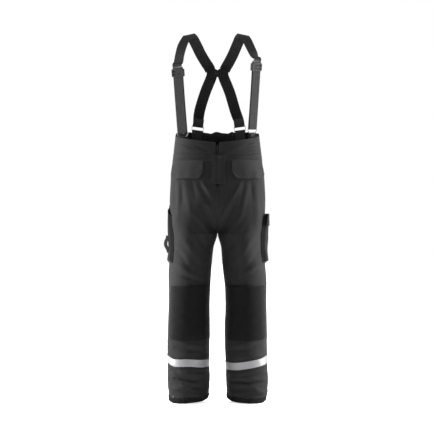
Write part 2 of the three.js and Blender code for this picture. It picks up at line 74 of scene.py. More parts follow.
# ---- the body that the cloth follows (millimetres above the hem, as in the CAD source) -----------
HEM_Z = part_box("front_leg_left")[0][2]
CROTCH, HIP, YOKE = 775.0, 925.0, 1105.0
KNEE_LOW, KNEE_HIGH = 288.0, 535.0
FRONT_TOP, SIDE_TOP, BACK_TOP = 1190.0, 1226.0, 1243.0
CLOTH = 2.0
ZIP_HALF, ZIP_BOTTOM = 9.0, 1010.0
COLUMNS = 12.0
HALF_WIDTH = np.array([(0, 224), (80, 229), (190, 231), (310, 229), (450, 225), (590, 223), (650, 218),
                       (715, 214), (850, 216), (920, 219), (1060, 213), (1130, 204), (1218, 192),
                       (1260, 190)], float)
INSEAM = np.array([(0, 42), (190, 36), (310, 34), (450, 36), (550, 34), (645, 25), (715, 17),
                   (775, 0.5)], float)
FRONT_DEPTH = np.array([(0, 97), (190, 103), (430, 110), (645, 126), (850, 138), (990, 137),
                        (1260, 121)], float)
BACK_DEPTH = np.array([(0, 99), (190, 104), (430, 108), (645, 140), (850, 160), (990, 156),
                       (1260, 138)], float)


def along(table, h, soften=24.0):
    """The table's value at heights h, with its corners rounded off."""
    steps = np.linspace(-soften, soften, 7)
    return sum(np.interp(h + s, table[:, 0], table[:, 1]) for s in steps) / len(steps)


def smoothstep(x, low, high):
    t = np.clip((x - low) / (high - low), 0, 1)
    return t * t * (3 - 2 * t)


def bare(face, side, u, h):
    """A point of one quarter, in millimetres: u runs from the side seam (0) to the centre or inseam (1)."""
    outer = along(HALF_WIDTH, h)
    inner = np.where(h < CROTCH, along(INSEAM, h, 6.0), 0.0)
    depth = along(FRONT_DEPTH if face == FRONT else BACK_DEPTH, h)
    s = np.clip((h - CROTCH) / (HIP - CROTCH), 0, 1)
    k = 1 - np.sin(s * math.pi / 2) ** 0.75
    trunk, leg = u * math.pi / 2, u * math.pi
    middle = (outer + inner) / 2
    sx = np.clip(np.cos(trunk), 0, 1) ** 0.86
    sy = np.clip(np.sin(trunk), 0, 1) ** 0.86
    x = (1 - k) * outer * sx + k * (middle + (outer - middle) * np.cos(leg))
    y = (1 - k) * depth * sy + k * depth * np.sin(leg)
    return side * x, face * y


def inward(face, side, u, h):
    """The level direction into the body, as two arrays."""
    step = 0.004
    ax, ay = bare(face, side, np.clip(u - step, 0, 1), h)
    bx, by = bare(face, side, np.clip(u + step, 0, 1), h)
    tx, ty = bx - ax, by - ay
    length = np.hypot(tx, ty) + 1e-9
    return -ty / length * face * side, tx / length * face * side


# ---- folds in the cloth ---------------------------------------------------------------------------
# Each stroke is a soft ridge (+) or groove (-): x and height of its two ends, width, rise, all in mm.
FOLDS = {
    (FRONT, RIGHT): [
        (-150, 1018, -118, 845, 15, 1.7), (-118, 1012, -96, 930, 8, -1.0), (-180, 1010, -188, 820, 14, 2.0),
        (-164, 1000, -160, 900, 7, -0.9), (-67, 1010, -14, 925, 8, 2.2), (-84, 1000, -30, 905, 9, -1.8),
        (-196, 1000, -190, 860, 10, -2.0), (-40, 905, -12, 830, 8, 3.0), (-70, 900, -18, 800, 10, -3.0),
        (-100, 860, -25, 760, 12, 3.0), (-120, 800, -40, 700, 14, -2.5), (-160, 760, -70, 640, 16, 2.5),
        (-190, 700, -120, 610, 14, -2.0), (-195, 640, -90, 575, 12, 2.5), (-205, 600, -60, 552, 10, -2.5),
        (-60, 640, -110, 560, 12, 2.0), (-205, 275, -60, 262, 10, 2.5), (-190, 250, -70, 240, 9, -2.5),
        (-200, 145, -60, 128, 9, 4.0), (-196, 112, -95, 104, 7, -6.0), (-214, 64, -110, 84, 11, 5.0),
        (-150, 90, -60, 62, 9, -3.5), (-120, 40, -50, 20, 9, 3.0), (-180, 1180, -120, 1160, 8, 3.0),
        (-216, 1148, -30, 1139, 2.6, -3.2), (-110, 1185, -40, 1150, 8, -2.5), (-100, 200, -40, 212, 9, 2.5),
        (-215, 165, -176, 140, 9, -4.0), (-140, 150, -45, 158, 7, 2.2),
    ],
    (FRONT, LEFT): [
        (136, 1012, 110, 870, 12, 1.3), (152, 1006, 158, 930, 7, -1.1), (172, 1004, 184, 800, 15, 2.2),
        (122, 1000, 98, 880, 9, -0.9), (104, 1004, 30, 890, 11, 2.6), (84, 990, 20, 880, 9, -2.2),
        (45, 900, 14, 830, 8, 3.0), (75, 900, 18, 800, 10, -3.0), (110, 860, 28, 755, 12, 3.0),
        (130, 800, 45, 700, 14, -2.5), (165, 760, 75, 640, 16, 2.5), (195, 700, 125, 610, 14, -2.0),
        (200, 640, 95, 580, 12, 2.5), (60, 640, 110, 560, 12, -2.0), (60, 262, 205, 276, 10, 2.5),
        (70, 240, 190, 252, 9, -2.5), (62, 130, 200, 146, 9, 3.0), (66, 99, 218, 95, 7, -6.0),
        (62, 116, 205, 112, 8, 4.0), (70, 62, 160, 66, 13, -4.5), (150, 72, 222, 40, 12, 4.5),
        (60, 34, 130, 28, 9, 3.0), (80, 30, 190, 44, 7, -2.5), (60, 205, 200, 222, 9, 2.0),
        (187, 1186, 146, 1181, 5, 4.0), (192, 1170, 144, 1164, 5, 4.5), (194, 1154, 140, 1147, 5, 4.5),
        (196, 1138, 146, 1131, 5, 4.0), (120, 1176, 60, 1158, 8, 2.5), (110, 1140, 50, 1128, 8, -2.0),
        (190, 1122, 150, 1118, 4, 3.0), (212, 1144, 30, 1128, 2.6, -3.2),
    ],
    (BACK, LEFT): [
        (30, 940, 110, 860, 12, 3.0), (30, 880, 120, 800, 13, -3.5), (30, 830, 120, 740, 13, 3.5),
        (40, 780, 130, 690, 13, -3.0), (60, 560, 200, 545, 12, 3.5), (55, 530, 205, 505, 11, -4.0),
        (60, 495, 200, 470, 12, 3.5), (60, 460, 190, 430, 11, -3.0), (60, 140, 200, 120, 12, 3.5),
        (60, 100, 205, 92, 10, -4.0), (70, 60, 200, 50, 12, 3.0), (150, 1080, 165, 960, 14, 2.5),
    ],
    (BACK, RIGHT): [
        (-30, 930, -115, 850, 12, 3.0), (-30, 870, -120, 790, 13, -3.5), (-30, 820, -125, 735, 13, 3.5),
        (-40, 770, -130, 680, 13, -3.0), (-60, 555, -200, 548, 12, 3.5), (-55, 520, -205, 512, 11, -4.0),
        (-60, 488, -200, 478, 12, 3.5), (-60, 450, -190, 438, 11, -3.0), (-60, 136, -200, 126, 12, 3.5),
        (-60, 98, -205, 90, 10, -4.0), (-70, 56, -200, 52, 12, 3.0), (-150, 1080, -168, 950, 14, 2.5),
    ],
}
# Waves of the cloth's own stiffness: (turns round a metre, turns up a metre, phase, rise in mm).
WAVES = [(1.1, 2.3, 0.4, 1.6), (2.3, 1.2, 2.1, 1.2), (3.1, 4.4, 5.0, 0.8), (4.7, 2.6, 1.2, 0.6),
         (6.1, 7.3, 3.3, 0.35), (9.4, 5.2, 0.7, 0.25)]
FOLD_GAIN, WAVE_GAIN = 2.0, 1.5
LEG_MIDDLE, LEG_RADIUS = 120.0, 0.11  # mm out from the centre, and metres, for the turns round a leg


def calm(face, side, u, h):
    """How free the cloth is to fold: stiff at knees, waist, hem edge and along the seams."""
    knee = smoothstep(h, KNEE_LOW - 3, KNEE_LOW + 12) * (1 - smoothstep(h, KNEE_HIGH - 10, KNEE_HIGH + 5))
    free = 1 - 0.75 * knee * (face == FRONT)
    free = free * (1 - 0.55 * smoothstep(h, YOKE - 5, YOKE + 20))
    free = free * (0.35 + 0.65 * smoothstep(h, 0, 25))
    return free * (0.25 + 0.75 * smoothstep(u, 0, 0.05)) * (0.25 + 0.75 * (1 - smoothstep(u, 0.95, 1.0)))


def folded(face, side, u, h):
    """Outward rise of the cloth over its even body, in mm. It depends only on the place on the body."""
    x, y = bare(face, side, u, h)
    rise = np.zeros_like(x)
    for x0, h0, x1, h1, width, height in FOLDS[(face, side)]:
        dx, dh = x1 - x0, h1 - h0
        t = np.clip(((x - x0) * dx + (h - h0) * dh) / (dx * dx + dh * dh), 0, 1)
        away = np.hypot(x - x0 - t * dx, h - h0 - t * dh) / width
        rise += FOLD_GAIN * height * np.exp(-away**2) * np.sin(math.pi * (0.12 + 0.76 * t)) ** 0.8
    arc = np.arctan2(y, x - side * LEG_MIDDLE) * LEG_RADIUS
    for turns_round, turns_up, phase, height in WAVES:
        turns = turns_round * arc * side + turns_up * h * MM
        rise += WAVE_GAIN * height * np.sin(2 * math.pi * turns + phase)
    return rise * calm(face, side, u, h)


def seam_dip(u, h):
    """The felled seams sink a little at each edge of a panel."""
    return -1.0 * np.exp(-((u / 0.012) ** 2)) - 1.0 * np.exp(-(((1 - u) / 0.012) ** 2))


def hem_lift(side, u):
    """The hem curves up towards both seams, where the cloth breaks over a boot."""
    outer, inner, belly = (24, 20, 5) if side == LEFT else (20, 22, 7)
    return (outer * np.clip(1 - u / 0.3, 0, 1) ** 2 + inner * np.clip((u - 0.62) / 0.38, 0, 1) ** 1.6
            + belly * smoothstep(u, 0.35, 0.7))


def on_skin(face, side, u, h, depth):
    """Points in metres on the folded body, sunk by depth millimetres (negative is proud of the cloth)."""
    u, h, depth = np.broadcast_arrays(np.asarray(u, float), np.asarray(h, float), np.asarray(depth, float))
    x, y = bare(face, side, u, h)
    nx, ny = inward(face, side, u, h)
    d = depth - folded(face, side, u, h) - seam_dip(u, h)
    # The two halves stay together down the centre, so nothing there moves sideways.
    apart = 1 - smoothstep(u, 0.88, 1.0) * smoothstep(h, CROTCH - 14, CROTCH)
    z = HEM_Z + (h + hem_lift(side, u) * np.clip(1 - h / 150, 0, 1) ** 2) * MM
    return np.stack([(x + nx * d * apart) * MM, (y + ny * d) * MM, z], -1)


# Ways to lay a sheet on the body, matching the CAD source. The first argument is the place across it.
def quarter(face, side):
    return lambda a, h, d: on_skin(face, side, a, h, d)


def across(face):
    def place(v, h, d):
        plus = on_skin(face, LEFT, 1 - np.abs(v), h, d)
        minus = on_skin(face, RIGHT, 1 - np.abs(v), h, d)
        p = np.where((np.asarray(v) >= 0)[..., None], plus, minus)
        p[..., 0] = np.where(np.abs(v) < 1e-6, 0, p[..., 0])
        return p

    return place


def flank(side):
    def place(w, h, d):
        p = np.where((np.asarray(w) < 0)[..., None], on_skin(FRONT, side, np.abs(w), h, d),
                     on_skin(BACK, side, np.abs(w), h, d))
        p[..., 1] = np.where(np.abs(w) < 1e-6, 0, p[..., 1])
        return p

    return place


def round_leg(side):
    def place(t, h, d):
        t = np.asarray(t) % 1.0
        p = np.where((t < 0.5)[..., None], on_skin(FRONT, side, 2 * t, h, d),
                     on_skin(BACK, side, 2 - 2 * t, h, d))
        p[..., 1] = np.where((t < 1e-6) | (np.abs(t - 0.5) < 1e-6), 0, p[..., 1])
        return p

    return place


def place_of_x(x, h):
    """Place across the front at which the body has a given x."""
    lo, hi = np.zeros(np.shape(h)), np.ones(np.shape(h))
    for _ in range(30):
        mid = (lo + hi) / 2
        beyond = bare(FRONT, LEFT, mid, np.asarray(h, float))[0] > x
        lo, hi = np.where(beyond, mid, lo), np.where(beyond, hi, mid)
    return (lo + hi) / 2


# ---- meshes ---------------------------------------------------------------------------------------
def linked(name, data):
    obj = bpy.data.objects.new(name, data)
    bpy.context.scene.collection.objects.link(obj)
    return obj


def cleaned(obj, merge=0.0):
    """Joins points closer than merge metres and turns every face outwards."""
    work = bmesh.new()
    work.from_mesh(obj.data)
    if merge:
        bmesh.ops.remove_doubles(work, verts=work.verts, dist=merge)
    bmesh.ops.recalc_face_normals(work, faces=work.faces)
    work.to_mesh(obj.data)
    work.free()
    return obj


def new_object(name, points, faces, uvs=None, smooth=True):
    mesh = bpy.data.meshes.new(name)
    mesh.from_pydata([tuple(p) for p in points], [], faces)
    if uvs is not None:
        layer = mesh.uv_layers.new(name="cloth")
        index = np.empty(len(mesh.loops), int)
        mesh.loops.foreach_get("vertex_index", index)
        layer.data.foreach_set("uv", np.asarray(uvs, float)[index].ravel())
    if smooth:
        mesh.shade_smooth()
    return linked(name, mesh)


def from_curve(name, curve, loops, matrix):
    """A mesh from a curve's closed loops of (x, y, z) in mm, moved to its place."""
    for loop in loops:
        line = curve.splines.new("POLY")
        line.points.add(len(loop) - 1)
        for point, place in zip(line.points, loop):
            point.co = (*(c * MM for c in place), 1)
        line.use_cyclic_u = True
    drawn = linked(name + "_curve", curve)
    mesh = bpy.data.meshes.new_from_object(drawn.evaluated_get(bpy.context.evaluated_depsgraph_get()))
    bpy.data.objects.remove(drawn)
    mesh.transform(matrix)
    return linked(name, mesh)


def run_along(path):
    """The distance run along a path at each of its points."""
    return np.concatenate([[0], np.cumsum(np.linalg.norm(np.diff(path, axis=0), axis=1))])


def point_at(where, known, points):
    """Points between known ones, by straight lines."""
    return np.stack([np.interp(where, known, points[:, k]) for k in range(3)], -1)


def as_function(value):
    return value if callable(value) else (lambda *_: value)


def cloth(name, place, a, b, low, high, outer, inner, nu, nv, closed=False, rise=None):
    """A sewn sheet with a rounded edge, over a range of places and heights that may be functions.
    rise(s, t) lifts the sheet in mm, by its shares across and up."""
    fa, fb, fl, fh = (as_function(v) for v in (a, b, low, high))
    columns = nu if closed else nu + 1
    s, t = np.meshgrid(np.arange(columns) / nu, np.linspace(0, 1, nv + 1))
    zero = np.zeros_like(s)
    guess = fa(zero) + (fb(zero) - fa(zero)) * s
    h = fl(guess) + (fh(guess) - fl(guess)) * t
    u = fa(h) + (fb(h) - fa(h)) * s
    lift = 0 if rise is None else rise(s, t)
    skins = [place(u, h, d - lift) for d in (outer, inner)]
    centre = (outer + inner) / 2
    # The rim sits half a thickness beyond each edge, so that folded edges look round.
    rim = place(u, h, centre - lift)
    lean = abs(inner - outer) * 0.45 * MM
    points = np.concatenate([skins[0].reshape(-1, 3), skins[1].reshape(-1, 3)])
    count = columns * (nv + 1)
    steps = np.linalg.norm(np.diff(skins[0], axis=1), axis=-1)
    run = np.concatenate([np.zeros((nv + 1, 1)), np.cumsum(steps, axis=1)], axis=1)
    uv = np.stack([run - run.mean(axis=1, keepdims=True), h * MM], -1).reshape(-1, 2)
    uvs = np.concatenate([uv, uv])
    faces = []

    def at(i, j, skin):
        return skin * count + j * columns + i % columns

    for j in range(nv):
        for i in range(nu):
            faces.append((at(i, j, 0), at(i + 1, j, 0), at(i + 1, j + 1, 0), at(i, j + 1, 0)))
            faces.append((at(i, j, 1), at(i, j + 1, 1), at(i + 1, j + 1, 1), at(i + 1, j, 1)))
    extra, extra_uv = [], []

    def bead(keys, away):
        """A strip of two faces along an edge, with its middle line pushed out."""
        start = len(points) + len(extra)
        for (i, j) in keys:
            i_in, j_in = away(i, j)
            out = rim[j, i % columns] - rim[j_in, i_in % columns]
            length = np.linalg.norm(out) + 1e-12
            extra.append(rim[j, i % columns] + out / length * lean)
            extra_uv.append(uv[j * columns + (i % columns)])
        for n in range(len(keys) - 1):
            (i, j), (i2, j2) = keys[n], keys[n + 1]
            faces.append((at(i, j, 0), start + n, start + n + 1, at(i2, j2, 0)))
            faces.append((start + n, at(i, j, 1), at(i2, j2, 1), start + n + 1))

    lower = [(i, 0) for i in range(nu + 1)]
    upper = [(i, nv) for i in range(nu + 1)]
    if closed:
        bead(lower, lambda i, j: (i, 1))
        bead(upper, lambda i, j: (i, nv - 1))
    else:
        around = lower + [(nu, j) for j in range(1, nv + 1)] + [(i, nv) for i in range(nu - 1, -1, -1)]
        around += [(0, j) for j in range(nv - 1, -1, -1)]

        def inside(i, j):
            return min(max(i, 1), nu - 1), min(max(j, 1), nv - 1)

        bead(around, inside)
    everything = np.concatenate([points, np.array(extra)])
    return cleaned(new_object(name, everything, faces, np.concatenate([uvs, np.array(extra_uv)])), 1e-6)


def spline(points, count):
    """A smooth curve through given points, centripetal, as evenly spaced samples."""
    p = np.array(points, float)
    p = np.vstack([2 * p[0] - p[1], p, 2 * p[-1] - p[-2]])
    dense = []
    for i in range(1, len(p) - 2):
        p0, p1, p2, p3 = p[i - 1 : i + 3]
        t0 = 0.0
        t1 = t0 + np.linalg.norm(p1 - p0) ** 0.5
        t2 = t1 + np.linalg.norm(p2 - p1) ** 0.5
        t3 = t2 + np.linalg.norm(p3 - p2) ** 0.5
        for t in np.linspace(t1, t2, 12, endpoint=False):
            a1 = (t1 - t) / (t1 - t0) * p0 + (t - t0) / (t1 - t0) * p1
            a2 = (t2 - t) / (t2 - t1) * p1 + (t - t1) / (t2 - t1) * p2
            a3 = (t3 - t) / (t3 - t2) * p2 + (t - t2) / (t3 - t2) * p3
            b1 = (t2 - t) / (t2 - t0) * a1 + (t - t0) / (t2 - t0) * a2
            b2 = (t3 - t) / (t3 - t1) * a2 + (t - t1) / (t3 - t1) * a3
            dense.append((t2 - t) / (t2 - t1) * b1 + (t - t1) / (t2 - t1) * b2)
    dense.append(p[-2])
    dense = np.array(dense)
    run = run_along(dense)
    want = np.linspace(0, run[-1], count)
    return point_at(want, run, dense), np.interp(want, run, np.linspace(0, 1, len(dense)))


def webbing(name, stops, wides, width, thick, count, ribs=9):
    """Flat woven webbing along given stops, with a rounded selvedge on each side."""
    centre, share = spline(stops, count)
    wide = point_at(share, np.linspace(0, 1, len(stops)), np.array(wides, float))
    along_it = np.gradient(centre, axis=0)
    along_it /= np.linalg.norm(along_it, axis=1)[:, None]
    wide -= along_it * np.sum(wide * along_it, 1)[:, None]
    wide /= np.linalg.norm(wide, axis=1)[:, None]
    up = np.cross(along_it, wide)
    half, h = width / 2, thick / 2
    # The section goes round: a flat middle with thicker rounded selvedges.
    top = [(-half + h * 0.2, h * 0.55), (-half + h, h), (-half + 3 * h, h), (-half + 4 * h, h * 0.8)]
    top += [(x, h * 0.8) for x in np.linspace(-half + 6 * h, half - 6 * h, ribs)]
    top += [(half - 4 * h, h * 0.8), (half - 3 * h, h), (half - h, h), (half - h * 0.2, h * 0.55)]
    section = np.array([(-half, 0)] + top + [(half, 0)] + [(x, -y) for x, y in reversed(top)])
    run = run_along(centre)
    points, uvs = [], []
    for k in range(count):
        for x, y in section:
            points.append(centre[k] + wide[k] * x + up[k] * y)
            uvs.append((x, run[k]))
    n = len(section)
    faces = [tuple(range(n)), tuple(reversed(range((count - 1) * n, count * n)))]
    for k in range(count - 1):
        for i in range(n):
            j = (i + 1) % n
            faces.append((k * n + i, k * n + j, (k + 1) * n + j, (k + 1) * n + i))
    return cleaned(new_object(name, points, faces, uvs))


def stitches(name, lines, pitch=3.6, length=2.5, radius=0.32):
    """Rows of thread stitches. Each line is (points, outward directions); the pieces are one mesh."""
    points, faces = [], []
    for path, normals in lines:
        path, normals = np.asarray(path, float), np.asarray(normals, float)
        run = run_along(path)
        for start in np.arange(pitch * MM / 2, run[-1] - length * MM, pitch * MM):
            ends = [point_at(s, run, path) for s in (start, start + length * MM)]
            out = point_at(start, run, normals)
            out /= np.linalg.norm(out) + 1e-12
            d = ends[1] - ends[0]
            side = np.cross(d, out)
            side /= np.linalg.norm(side) + 1e-12
            r = radius * MM
            middle = (ends[0] + ends[1]) / 2
            base = len(points)
            points += [ends[0] - out * r * 0.6, ends[1] - out * r * 0.6]
            points += [middle + side * r, middle + out * r, middle - side * r]
            faces += [(base, base + 2, base + 3), (base, base + 3, base + 4), (base, base + 4, base + 2),
                      (base + 1, base + 3, base + 2), (base + 1, base + 4, base + 3),
                      (base + 1, base + 2, base + 4)]
    return new_object(name, points, faces)


# ---- materials ------------------------------------------------------------------------------------
def principled(name, colour, roughness, specular=0.3, metallic=0.0, sheen=0.0):
    material = bpy.data.materials.new(name)
    material.use_nodes = True
    nodes, links = material.node_tree.nodes, material.node_tree.links
    shader = nodes["Principled BSDF"]
    shader.inputs["Base Color"].default_value = (*colour, 1)
    shader.inputs["Roughness"].default_value = roughness
    shader.inputs["Specular IOR Level"].default_value = specular
    shader.inputs["Metallic"].default_value = metallic
    shader.inputs["Sheen Weight"].default_value = sheen
    shader.inputs["Sheen Roughness"].default_value = 0.35
    return material, nodes, links, shader


def add_node(nodes, kind, **values):
    node = nodes.new(kind)
    for key, value in values.items():
        if key in node.inputs:
            node.inputs[key].default_value = value
        else:
            setattr(node, key, value)
    return node


def toned(nodes, links, shader, colour, tone):
    """Paints the shader with the colour, made lighter or darker by tone."""
    paint = add_node(nodes, "ShaderNodeVectorMath", operation="SCALE")
    paint.inputs[0].default_value = colour
    links.new(tone, paint.inputs["Scale"])
    links.new(paint.outputs["Vector"], shader.inputs["Base Color"])


def woven(name, colour, roughness=0.8, specular=0.15, sheen=0.05, thread=0.9, bump=0.5, fleck=0.35,
          ripstop=0.0, crease=0.25, worn=0.4):
    """Cloth with a plain weave, soft crumples, uneven dye and paler worn ridges. thread and ripstop in mm."""
    material, nodes, links, shader = principled(name, colour, roughness, specular, 0, sheen)
    coord = add_node(nodes, "ShaderNodeTexCoord")

    def band(direction, pitch, profile="SIN"):
        wave = add_node(nodes, "ShaderNodeTexWave", bands_direction=direction, wave_profile=profile,
                        Scale=0.314 / (pitch * MM), Distortion=0.0)
        links.new(coord.outputs["UV"], wave.inputs["Vector"])
        return wave.outputs["Fac"]

    def math_node(operation, a, b):
        node = add_node(nodes, "ShaderNodeMath", operation=operation)
        for socket, value in zip(node.inputs, (a, b)):
            if isinstance(value, (int, float)):
                socket.default_value = value
            else:
                links.new(value, socket)
        return node.outputs[0]

    height = math_node("MAXIMUM", band("X", thread), band("Y", thread))
    if ripstop:
        grid = math_node("MAXIMUM", band("X", ripstop), band("Y", ripstop))
        height = math_node("ADD", height, math_node("MULTIPLY", math_node("POWER", grid, 14.0), 1.4))
    crumple = add_node(nodes, "ShaderNodeTexNoise", Scale=38.0, Detail=5.0, Roughness=0.55)
    links.new(coord.outputs["Object"], crumple.inputs["Vector"])
    weave = add_node(nodes, "ShaderNodeBump", Strength=bump, Distance=0.25 * MM)
    soft = add_node(nodes, "ShaderNodeBump", Strength=crease, Distance=3.5 * MM)
    links.new(height, weave.inputs["Height"])
    links.new(crumple.outputs["Fac"], soft.inputs["Height"])
    links.new(soft.outputs["Normal"], weave.inputs["Normal"])
    links.new(weave.outputs["Normal"], shader.inputs["Normal"])

    blotch = add_node(nodes, "ShaderNodeTexNoise", Scale=9.0, Detail=6.0, Roughness=0.6)
    links.new(coord.outputs["Object"], blotch.inputs["Vector"])
    fine = add_node(nodes, "ShaderNodeTexNoise", Scale=900.0, Detail=2.0, Roughness=0.5)
    links.new(coord.outputs["Object"], fine.inputs["Vector"])
    geometry = add_node(nodes, "ShaderNodeNewGeometry")
    edge = add_node(nodes, "ShaderNodeMapRange", **{"From Min": 0.52, "From Max": 0.62, "To Max": worn})
    links.new(geometry.outputs["Pointiness"], edge.inputs["Value"])
    tone = math_node("ADD", math_node("MULTIPLY", blotch.outputs["Fac"], fleck),
                     math_node("MULTIPLY", fine.outputs["Fac"], 0.5))
    tone = math_node("ADD", tone, math_node("MULTIPLY", height, 0.12))
    tone = math_node("ADD", math_node("ADD", tone, 0.72 - fleck / 2), edge.outputs["Result"])
    toned(nodes, links, shader, colour, tone)
    return material


def hard(name, colour, roughness, metallic=0.0, specular=0.4, grain=120.0):
    """Plastic or painted metal with fine scratches and a little uneven tone."""
    material, nodes, links, shader = principled(name, colour, roughness, specular, metallic)
    coord = add_node(nodes, "ShaderNodeTexCoord")
    scratch = add_node(nodes, "ShaderNodeTexNoise", Scale=grain, Detail=6.0, Roughness=0.7)
    links.new(coord.outputs["Object"], scratch.inputs["Vector"])
    bump = add_node(nodes, "ShaderNodeBump", Strength=0.12, Distance=0.15 * MM)
    links.new(scratch.outputs["Fac"], bump.inputs["Height"])
    links.new(bump.outputs["Normal"], shader.inputs["Normal"])
    tone = add_node(nodes, "ShaderNodeMapRange", **{"To Min": 0.65, "To Max": 1.35})
    links.new(scratch.outputs["Fac"], tone.inputs["Value"])
    toned(nodes, links, shader, colour, tone.outputs["Result"])
    return material


SHELL = woven("shell_cloth", (0.0046, 0.0045, 0.0045), specular=0.05, ripstop=7.0, sheen=0.012)
# The pocket flaps use the shell cloth painted about 1.5 times lighter, with more sheen: a painted highlight
# for the light that their tilted faces catch.
FLAP_SHELL_PAINTED_LIGHTER = woven("flap_cloth", (0.0072, 0.0071, 0.0070), specular=0.05, ripstop=7.0, sheen=0.02)
TOUGH = woven("tough_cloth", (0.0018, 0.0018, 0.0019), roughness=0.8, specular=0.03, thread=1.2, crease=0.15,
              sheen=0.008)
POCKET = woven("pocket_cloth", (0.0022, 0.0022, 0.0022), roughness=0.8, specular=0.04, thread=1.1,
               sheen=0.008)
LINING = woven("lining_cloth", (0.0036, 0.0037, 0.0039), roughness=0.85, specular=0.04, thread=0.7,
               sheen=0.01)
WEBBING = woven("brace_webbing", (0.0030, 0.0029, 0.0030), roughness=0.7, specular=0.06, thread=2.4, bump=1.0,
                crease=0.1, sheen=0.01, fleck=0.9)
DARK_WEBBING = woven("back_webbing", (0.0027, 0.0027, 0.0029), roughness=0.75, specular=0.05, thread=2.4,
                     bump=1.0, crease=0.1, sheen=0.01, fleck=0.9)
ELASTIC = woven("gathered_elastic", (0.0045, 0.0045, 0.0047), roughness=0.8, specular=0.05, thread=1.6,
                bump=0.9, sheen=0.01)
PILE = woven("hook_and_loop_pile", (0.0036, 0.0036, 0.0037), roughness=0.95, specular=0.04, thread=1.3,
             bump=1.0, crease=0.5, sheen=0.05)
TAPE = woven("reflective_weave", (0.060, 0.060, 0.062), roughness=0.45, specular=0.35, sheen=0.0, thread=0.8,
             bump=0.3, fleck=0.25, crease=0.3, worn=0.1)
THREAD = woven("thread", (0.0058, 0.0058, 0.0060), roughness=0.6, specular=0.15, thread=0.4, sheen=0.1)
TAPE_THREAD = woven("tape_thread", (0.050, 0.050, 0.052), roughness=0.6, specular=0.3, thread=0.4)
FOAM = hard("foam_rubber", (0.03, 0.03, 0.031), 0.85, specular=0.2, grain=300.0)
PLASTIC = hard("black_plastic", (0.0028, 0.0028, 0.0029), 0.6, specular=0.06)
METAL = hard("dark_metal", (0.055, 0.054, 0.052), 0.36, metallic=0.9)
BLACK_METAL = hard("blackened_metal", (0.006, 0.006, 0.006), 0.5, metallic=0.4, specular=0.1)


def dress(obj, material, nodes=(), body="pants"):
    """Gives a piece its finish, the nodes that it stands for and the body that it moves with."""
    obj.data.materials.clear()
    obj.data.materials.append(material)
    if nodes:
        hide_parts(*nodes)
    if body:
        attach(obj, body)
    return obj


def declare(obj):
    """Returns the piece unchanged."""
    return obj


def swell(s, t, side_edge=0.1, low_edge=0.1, high_edge=0.1):
    """1 in the middle of a patch, falling to 0 at its edges; an edge of 0 stays open."""
    f = np.ones_like(s)
    if side_edge:
        f *= smoothstep(s, 0, side_edge) * (1 - smoothstep(s, 1 - side_edge, 1))
    if low_edge:
        f *= smoothstep(t, 0, low_edge)
    if high_edge:
        f *= 1 - smoothstep(t, 1 - high_edge, 1)
    return f


def seam_line(place, us, hs, proud):
    """A line of points on the cloth with their outward directions, for stitching."""
    us, hs = np.broadcast_arrays(np.asarray(us, float), np.asarray(hs, float))
    low = place(us, hs, -proud + 1.0)
    high = place(us, hs, -proud)
    return high, high - low


# ---- shell panels ---------------------------------------------------------------------------------
LAP = 0.8  # a yoke lies this much proud of the leg that it is sewn over


def front_edge(h):
    h = np.asarray(h, float)
    opening = ZIP_HALF * smoothstep(h, ZIP_BOTTOM - 30, ZIP_BOTTOM)
    return np.where(h < ZIP_BOTTOM - 30, 1.0, place_of_x(opening, h))


def front_top(u):
    return FRONT_TOP + (SIDE_TOP - FRONT_TOP) * (1 - u)


def back_top(v):
    """The gathered upper edge of the back: a rise to the middle with small scallops."""
    bow = np.clip(1 - v * v, 0, 1)
    scallop = (3.4 * np.cos(27 * v + 0.8 * np.sin(7 * v)) + 1.4 * np.cos(61 * v + 1)) * bow**0.5
    return SIDE_TOP + (BACK_TOP - SIDE_TOP) * bow**0.35 + scallop


def front_leg_top(u):
    mouth = smoothstep(u, 0.36, 0.42) * (1 - smoothstep(u, 0.74, 0.8))
    return YOKE - 0.4 - 9 * mouth


threads = []
for word, side in SIDES:
    front, back = quarter(FRONT, side), quarter(BACK, side)
    leg = cloth(f"shell_front_leg_{word}", front, 0, front_edge, 0, front_leg_top, 0, CLOTH, 76, 250)
    dress(leg, SHELL, [f"front_leg_{word}"])
    declare(leg)
    leg = cloth(f"shell_back_leg_{word}", back, 0, 1, 0, YOKE - 0.4, 0, CLOTH, 76, 250)
    dress(leg, SHELL, [f"back_leg_{word}"])
    declare(leg)
    yoke = cloth(f"shell_front_yoke_{word}", front, 0, front_edge, YOKE - 1, front_top, -LAP, CLOTH - LAP,
                 70, 26)
    dress(yoke, SHELL, [f"front_yoke_{word}"])
    declare(yoke)
    facing = cloth(f"waist_facing_cloth_{word}", front, 1 / COLUMNS, 10 / COLUMNS, YOKE + 25,
                   lambda u: front_top(u) - 3, 3.4, 4.6, 40, 14)
    dress(facing, LINING, [f"waist_facing_{word}"])
    declare(facing)

    h_leg = np.linspace(8, 1098, 360)
    for place in (front, back):
        threads += [seam_line(place, u, h_leg, 0.1) for u in (0.018, 0.04)]
    h_in = np.linspace(8, 770, 260)
    for place in (front, back):
        threads += [seam_line(place, 1 - u, h_in, 0.1) for u in (0.02, 0.042)]
    u_row = np.linspace(0.02, 0.97, 120)
    threads += [seam_line(front, u_row, h, 0.9) for h in (YOKE + 2.2, YOKE + 8.5, front_top(u_row) - 4)]
    h_rise = np.linspace(785, ZIP_BOTTOM - 15, 90)
    threads += [seam_line(front, 0.965, h_rise, 0.1), seam_line(back, 0.97, h_rise, 0.1)]

back_panel = cloth("shell_back_yoke", across(BACK), -1, 1, YOKE - 1, SIDE_TOP - 30, -LAP, CLOTH - LAP, 150,
                   24)
dress(back_panel, SHELL, ["back_yoke"])
declare(back_panel)


